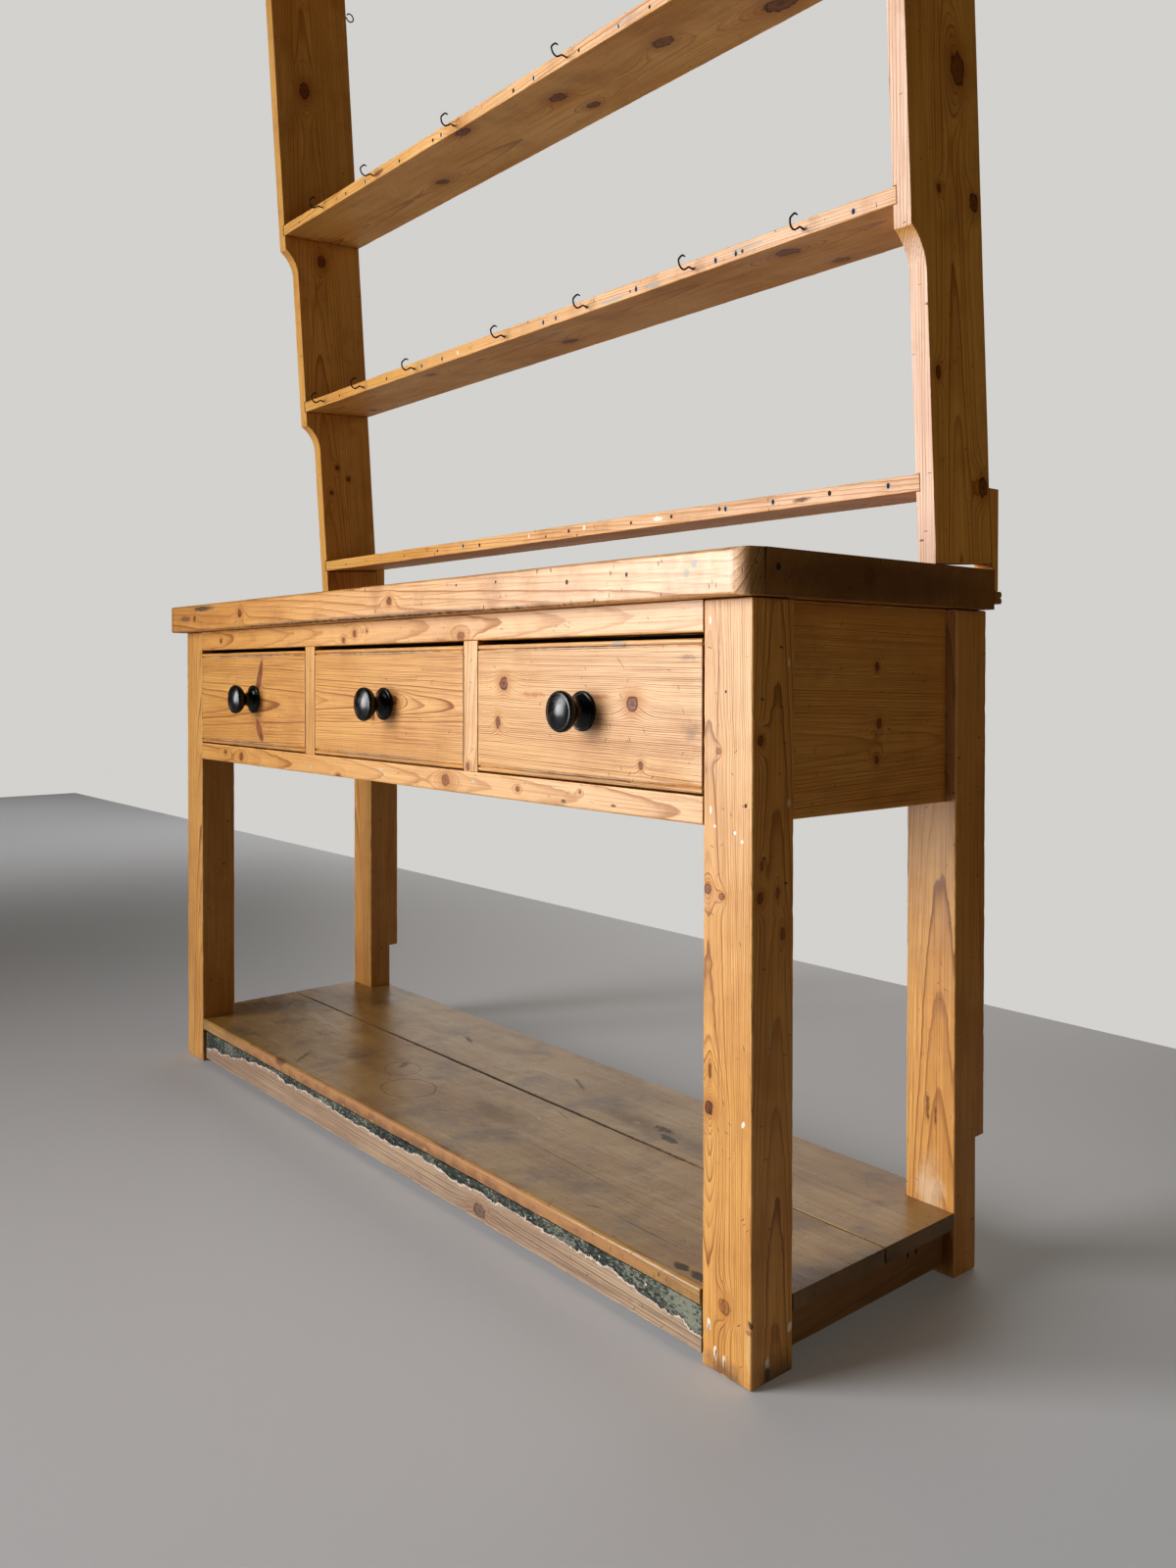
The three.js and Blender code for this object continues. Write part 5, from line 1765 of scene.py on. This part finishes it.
    def build(self) -> None:
        """Makes the rack's boards."""
        self.sides()
        self.shelves()
        self.joiner.make(Board("rack_top_board", Lie.SHELF, RACK, (10, -50), LEANING, arris=0.8, seed=24.0))
        self.joiner.make(Board("rack_batten", Lie.RAIL, RACK, (10, -50), arris=0.6, wear=0.4, seed=25.0))
        for seed, name in enumerate(("rack_cleat_left", "rack_cleat_right")):
            self.joiner.make(Board(name, Lie.POST, RACK, (10, -50), arris=0.8, wear=0.4, seed=26.0 + seed))
        for seed, name in enumerate(("cornice_front", "cornice_left", "cornice_right")):
            lie = Lie.RAIL if name == "cornice_front" else Lie.PANEL
            self.joiner.dress(Board(name, lie, RACK, (30, -40), LEANING, seed=45.0 + seed))


class WireBender:
    """Bends iron wire into the cup hooks and the eye."""

    WIRE = 1.2
    TIP = 0.75
    SMOOTH = math.radians(50)
    MIDDLE_HOOKS = (-26.0, 404.5)
    UPPER_HOOKS = (-50.0, 744.5)
    BEND = ((-6, 0), (1.5, 0), (7.8, 1.3), (12.5, -1.2), (17.9, -3.4), (23.0, -1.2), (25.7, 4.4), (25.4, 8.6),
            (23.9, 10.4), (20.6, 13.4), (17.7, 15.1), (13.3, 14.3))

    def bend(self, name: str, route: list[Vector], body: str, node: str | None, iron: Material) -> None:
        """One bent wire along a route, with rounded ends.

        Args:
            name: The piece's name.
            route: The places that its middle line runs through.
            body: The body that it rides on.
            node: The CAD node that it stands for, if there is one.
            iron: Its material.
        """
        bpy.ops.object.select_all(action="DESELECT")
        bpy.ops.curve.primitive_nurbs_path_add()
        piece = bpy.context.object
        piece.name = name
        curve = piece.data
        curve.splines.clear()
        spline = curve.splines.new("BEZIER")
        spline.bezier_points.add(len(route) - 1)
        for point, place in zip(spline.bezier_points, route):
            point.co = place
            point.handle_left_type = point.handle_right_type = "AUTO"
        spline.bezier_points[-1].radius = self.TIP
        curve.dimensions = "3D"
        curve.resolution_u = 6
        curve.bevel_depth = self.WIRE * MM
        curve.bevel_resolution = 3
        curve.use_fill_caps = True
        only(piece)
        bpy.ops.object.convert(target="MESH")
        piece = bpy.context.object
        weld()
        bpy.ops.object.mode_set(mode="OBJECT")
        bpy.ops.object.transform_apply(location=True, rotation=True, scale=True)
        bpy.ops.object.shade_smooth_by_angle(angle=self.SMOOTH)
        piece.data.materials.clear()
        piece.data.materials.append(iron)
        settle(piece, node, body)

    def hook(self, x: float, front: float, z: float, turn: float) -> list[Vector]:
        """A cup hook's middle line in the row frame.

        Args:
            x: Its place along the shelf, in millimetres in the rack's frame.
            front: The shelf's front edge.
            z: The shank's height.
            turn: How far it leans round its own shank.

        Returns:
            The places that it runs through.
        """
        places = []
        for out, up in self.BEND:
            place = Vector((x + up * math.sin(turn), front - out, z + up * math.cos(turn)))
            places.append(LEANING @ (place * MM))
        return places

    def eye(self) -> list[Vector]:
        """The eye behind the left side: a shank and one turn of wire.

        Returns:
            The places that it runs through.
        """
        low, high = Board("wall_eye", Lie.SIDE, WAXED, stand=LEANING).upright_box()
        radius = (high.z - low.z) / 2 - self.WIRE * MM
        centre = Vector(((low.x + high.x) / 2, high.y - radius - self.WIRE * MM, (low.z + high.z) / 2))
        places = [Vector((centre.x, low.y + 3 * MM, centre.z)),
                  Vector((centre.x, centre.y - radius - 3 * MM, centre.z))]
        for step in range(13):
            angle = math.radians(-20 - 310 * step / 12)
            places.append(centre + radius * Vector((0.02 * step / 12, -math.cos(angle), math.sin(angle))))
        return [LEANING @ place for place in places]

    def build(self) -> None:
        """Bends the middle shelf's hooks, the upper shelf's and the eye."""
        iron = BrownedIron().build()
        back = LEANING.inverted()
        for number, turn in enumerate((-6, 4, 7, -5, 3, -4, 6), 1):
            low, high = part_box(f"cup_hook_{number}")
            middle = back @ ((low + high) / 2) / MM
            route = self.hook(middle.x, *self.MIDDLE_HOOKS, math.radians(turn))
            self.bend(f"bent_hook_{number}", route, "dresser", f"cup_hook_{number}", iron)
        upper = ((-539, 5), (-351, -4), (-101, 6), (178, -6), (380, 4), (565, -3))
        for number, (x, turn) in enumerate(upper, 1):
            route = self.hook(x, *self.UPPER_HOOKS, math.radians(turn))
            self.bend(f"bent_hook_upper_{number}", route, "dresser", None, iron)
        self.bend("bent_wall_eye", self.eye(), "dresser", "wall_eye", iron)


def drawers(joiner: Joiner) -> tuple[Drawer, ...]:
    """The three drawers with what the photograph shows on their fronts.

    Args:
        joiner: Makes their boards.

    Returns:
        The drawers from left to right.
    """
    y = BaseFrame.front
    left = Drawer(
        joiner, "left", (-10, -45), ring=3.4, seed=30.0,
        knots=(Knot((-396, y, 700), 6.0, 0.8, (0, 1, 0), 0.0),
               Knot((-396, y, 615), 6.0, 0.8, (0, 1, 0), 0.0)),
        marks=(
            Mark((-396, y, 701), (10.0, 36, 6), (0.20, 0.058, 0.018), 20, soft=0.3, ragged=0.6, grit=60,
                 strength=0.92),
            Mark((-390, y, 715), (2.2, 20, 6), (0.06, 0.016, 0.009), 20, soft=0.6, ragged=0.8, grit=60,
                 strength=0.85),
            Mark((-396, y, 613), (11.0, 25, 6), (0.22, 0.066, 0.020), -32, soft=0.3, ragged=0.6, grit=60,
                 strength=0.92),
            Mark((-390, y, 604), (2.6, 10, 6), (0.06, 0.016, 0.009), -32, soft=0.6, ragged=0.8, grit=60,
                 strength=0.85),
        ),
    )
    middle = Drawer(
        joiner, "middle", (2, -24), ring=2.6, seed=36.0,
        knots=(Knot((31, y, 670), 6.0, 1.8, (0, 1, 0), 0.9), Knot((-24, y, 645), 4.0, 1.2, (0, 1, 0), 0.9)),
        marks=(Mark((147, y, 611), (3, 4, 6), (0.20, 0.17, 0.15), ragged=1.2, soft=0.5, strength=0.6,
                    hollow=0.5),),
    )
    right = Drawer(
        joiner, "right", (-190, -40), ring=2.2, seed=33.0, fade=0.5,
        knots=(Knot((293, y, 695), 7.5, 1.05, (0, 1, 0), 0.95),
               Knot((281, y, 646), 7.0, 0.62, (0, 1, 0), 0.85),
               Knot((529, y, 674), 8.0, 1.1, (0, 1, 0), 0.95), Knot((543, y, 608), 4.5, 0.7, (0, 1, 0),
                                                                    0.85)),
        marks=(
            Mark((352, y, 682), (40, 5, 5), (0.36, 0.115, 0.035), soft=0.9, ragged=1.0, strength=0.7),
            Mark((470, y, 681), (34, 5, 5), (0.33, 0.105, 0.032), soft=0.9, ragged=1.0, strength=0.75),
            Mark((505, y, 740), (18, 5, 4), (0.30, 0.31, 0.31), soft=0.7, ragged=1.2, strength=0.7),
            Mark((614, y, 724), (18, 5, 5), (0.20, 0.15, 0.11), soft=0.9, ragged=1.4, strength=0.6),
            Mark((619, y, 648), (16, 16, 5), (0.22, 0.16, 0.12), soft=0.9, ragged=1.4, strength=0.5),
            # Painted shadow: an orange-brown patch on the front by the knob's foot, where the knob's shadow
            # falls.
            Mark((420, y, 662), (26, 22, 5), (0.55, 0.21, 0.035), soft=0.9, ragged=0.6, strength=0.7),
            Mark((510, y, 719), (13, 1.4, 5), (0.25, 0.13, 0.07), 45, soft=0.7, ragged=1.0, strength=0.6),
        ),
    )
    return left, middle, right


def main() -> None:
    """Builds the studio, then the dresser from the floor up."""
    logging.basicConfig(level=logging.INFO, format="%(message)s")
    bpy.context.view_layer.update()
    Studio().build()
    joiner = Joiner()
    for part in (BaseFrame(joiner), Worktop(joiner), PotBoard(joiner), Rack(joiner)):
        part.build()
    turner, gloss = KnobTurner(), Gloss().build()
    for drawer in drawers(joiner):
        drawer.build(turner, gloss)
    WireBender().build()


if __name__ == "__main__":
    main()
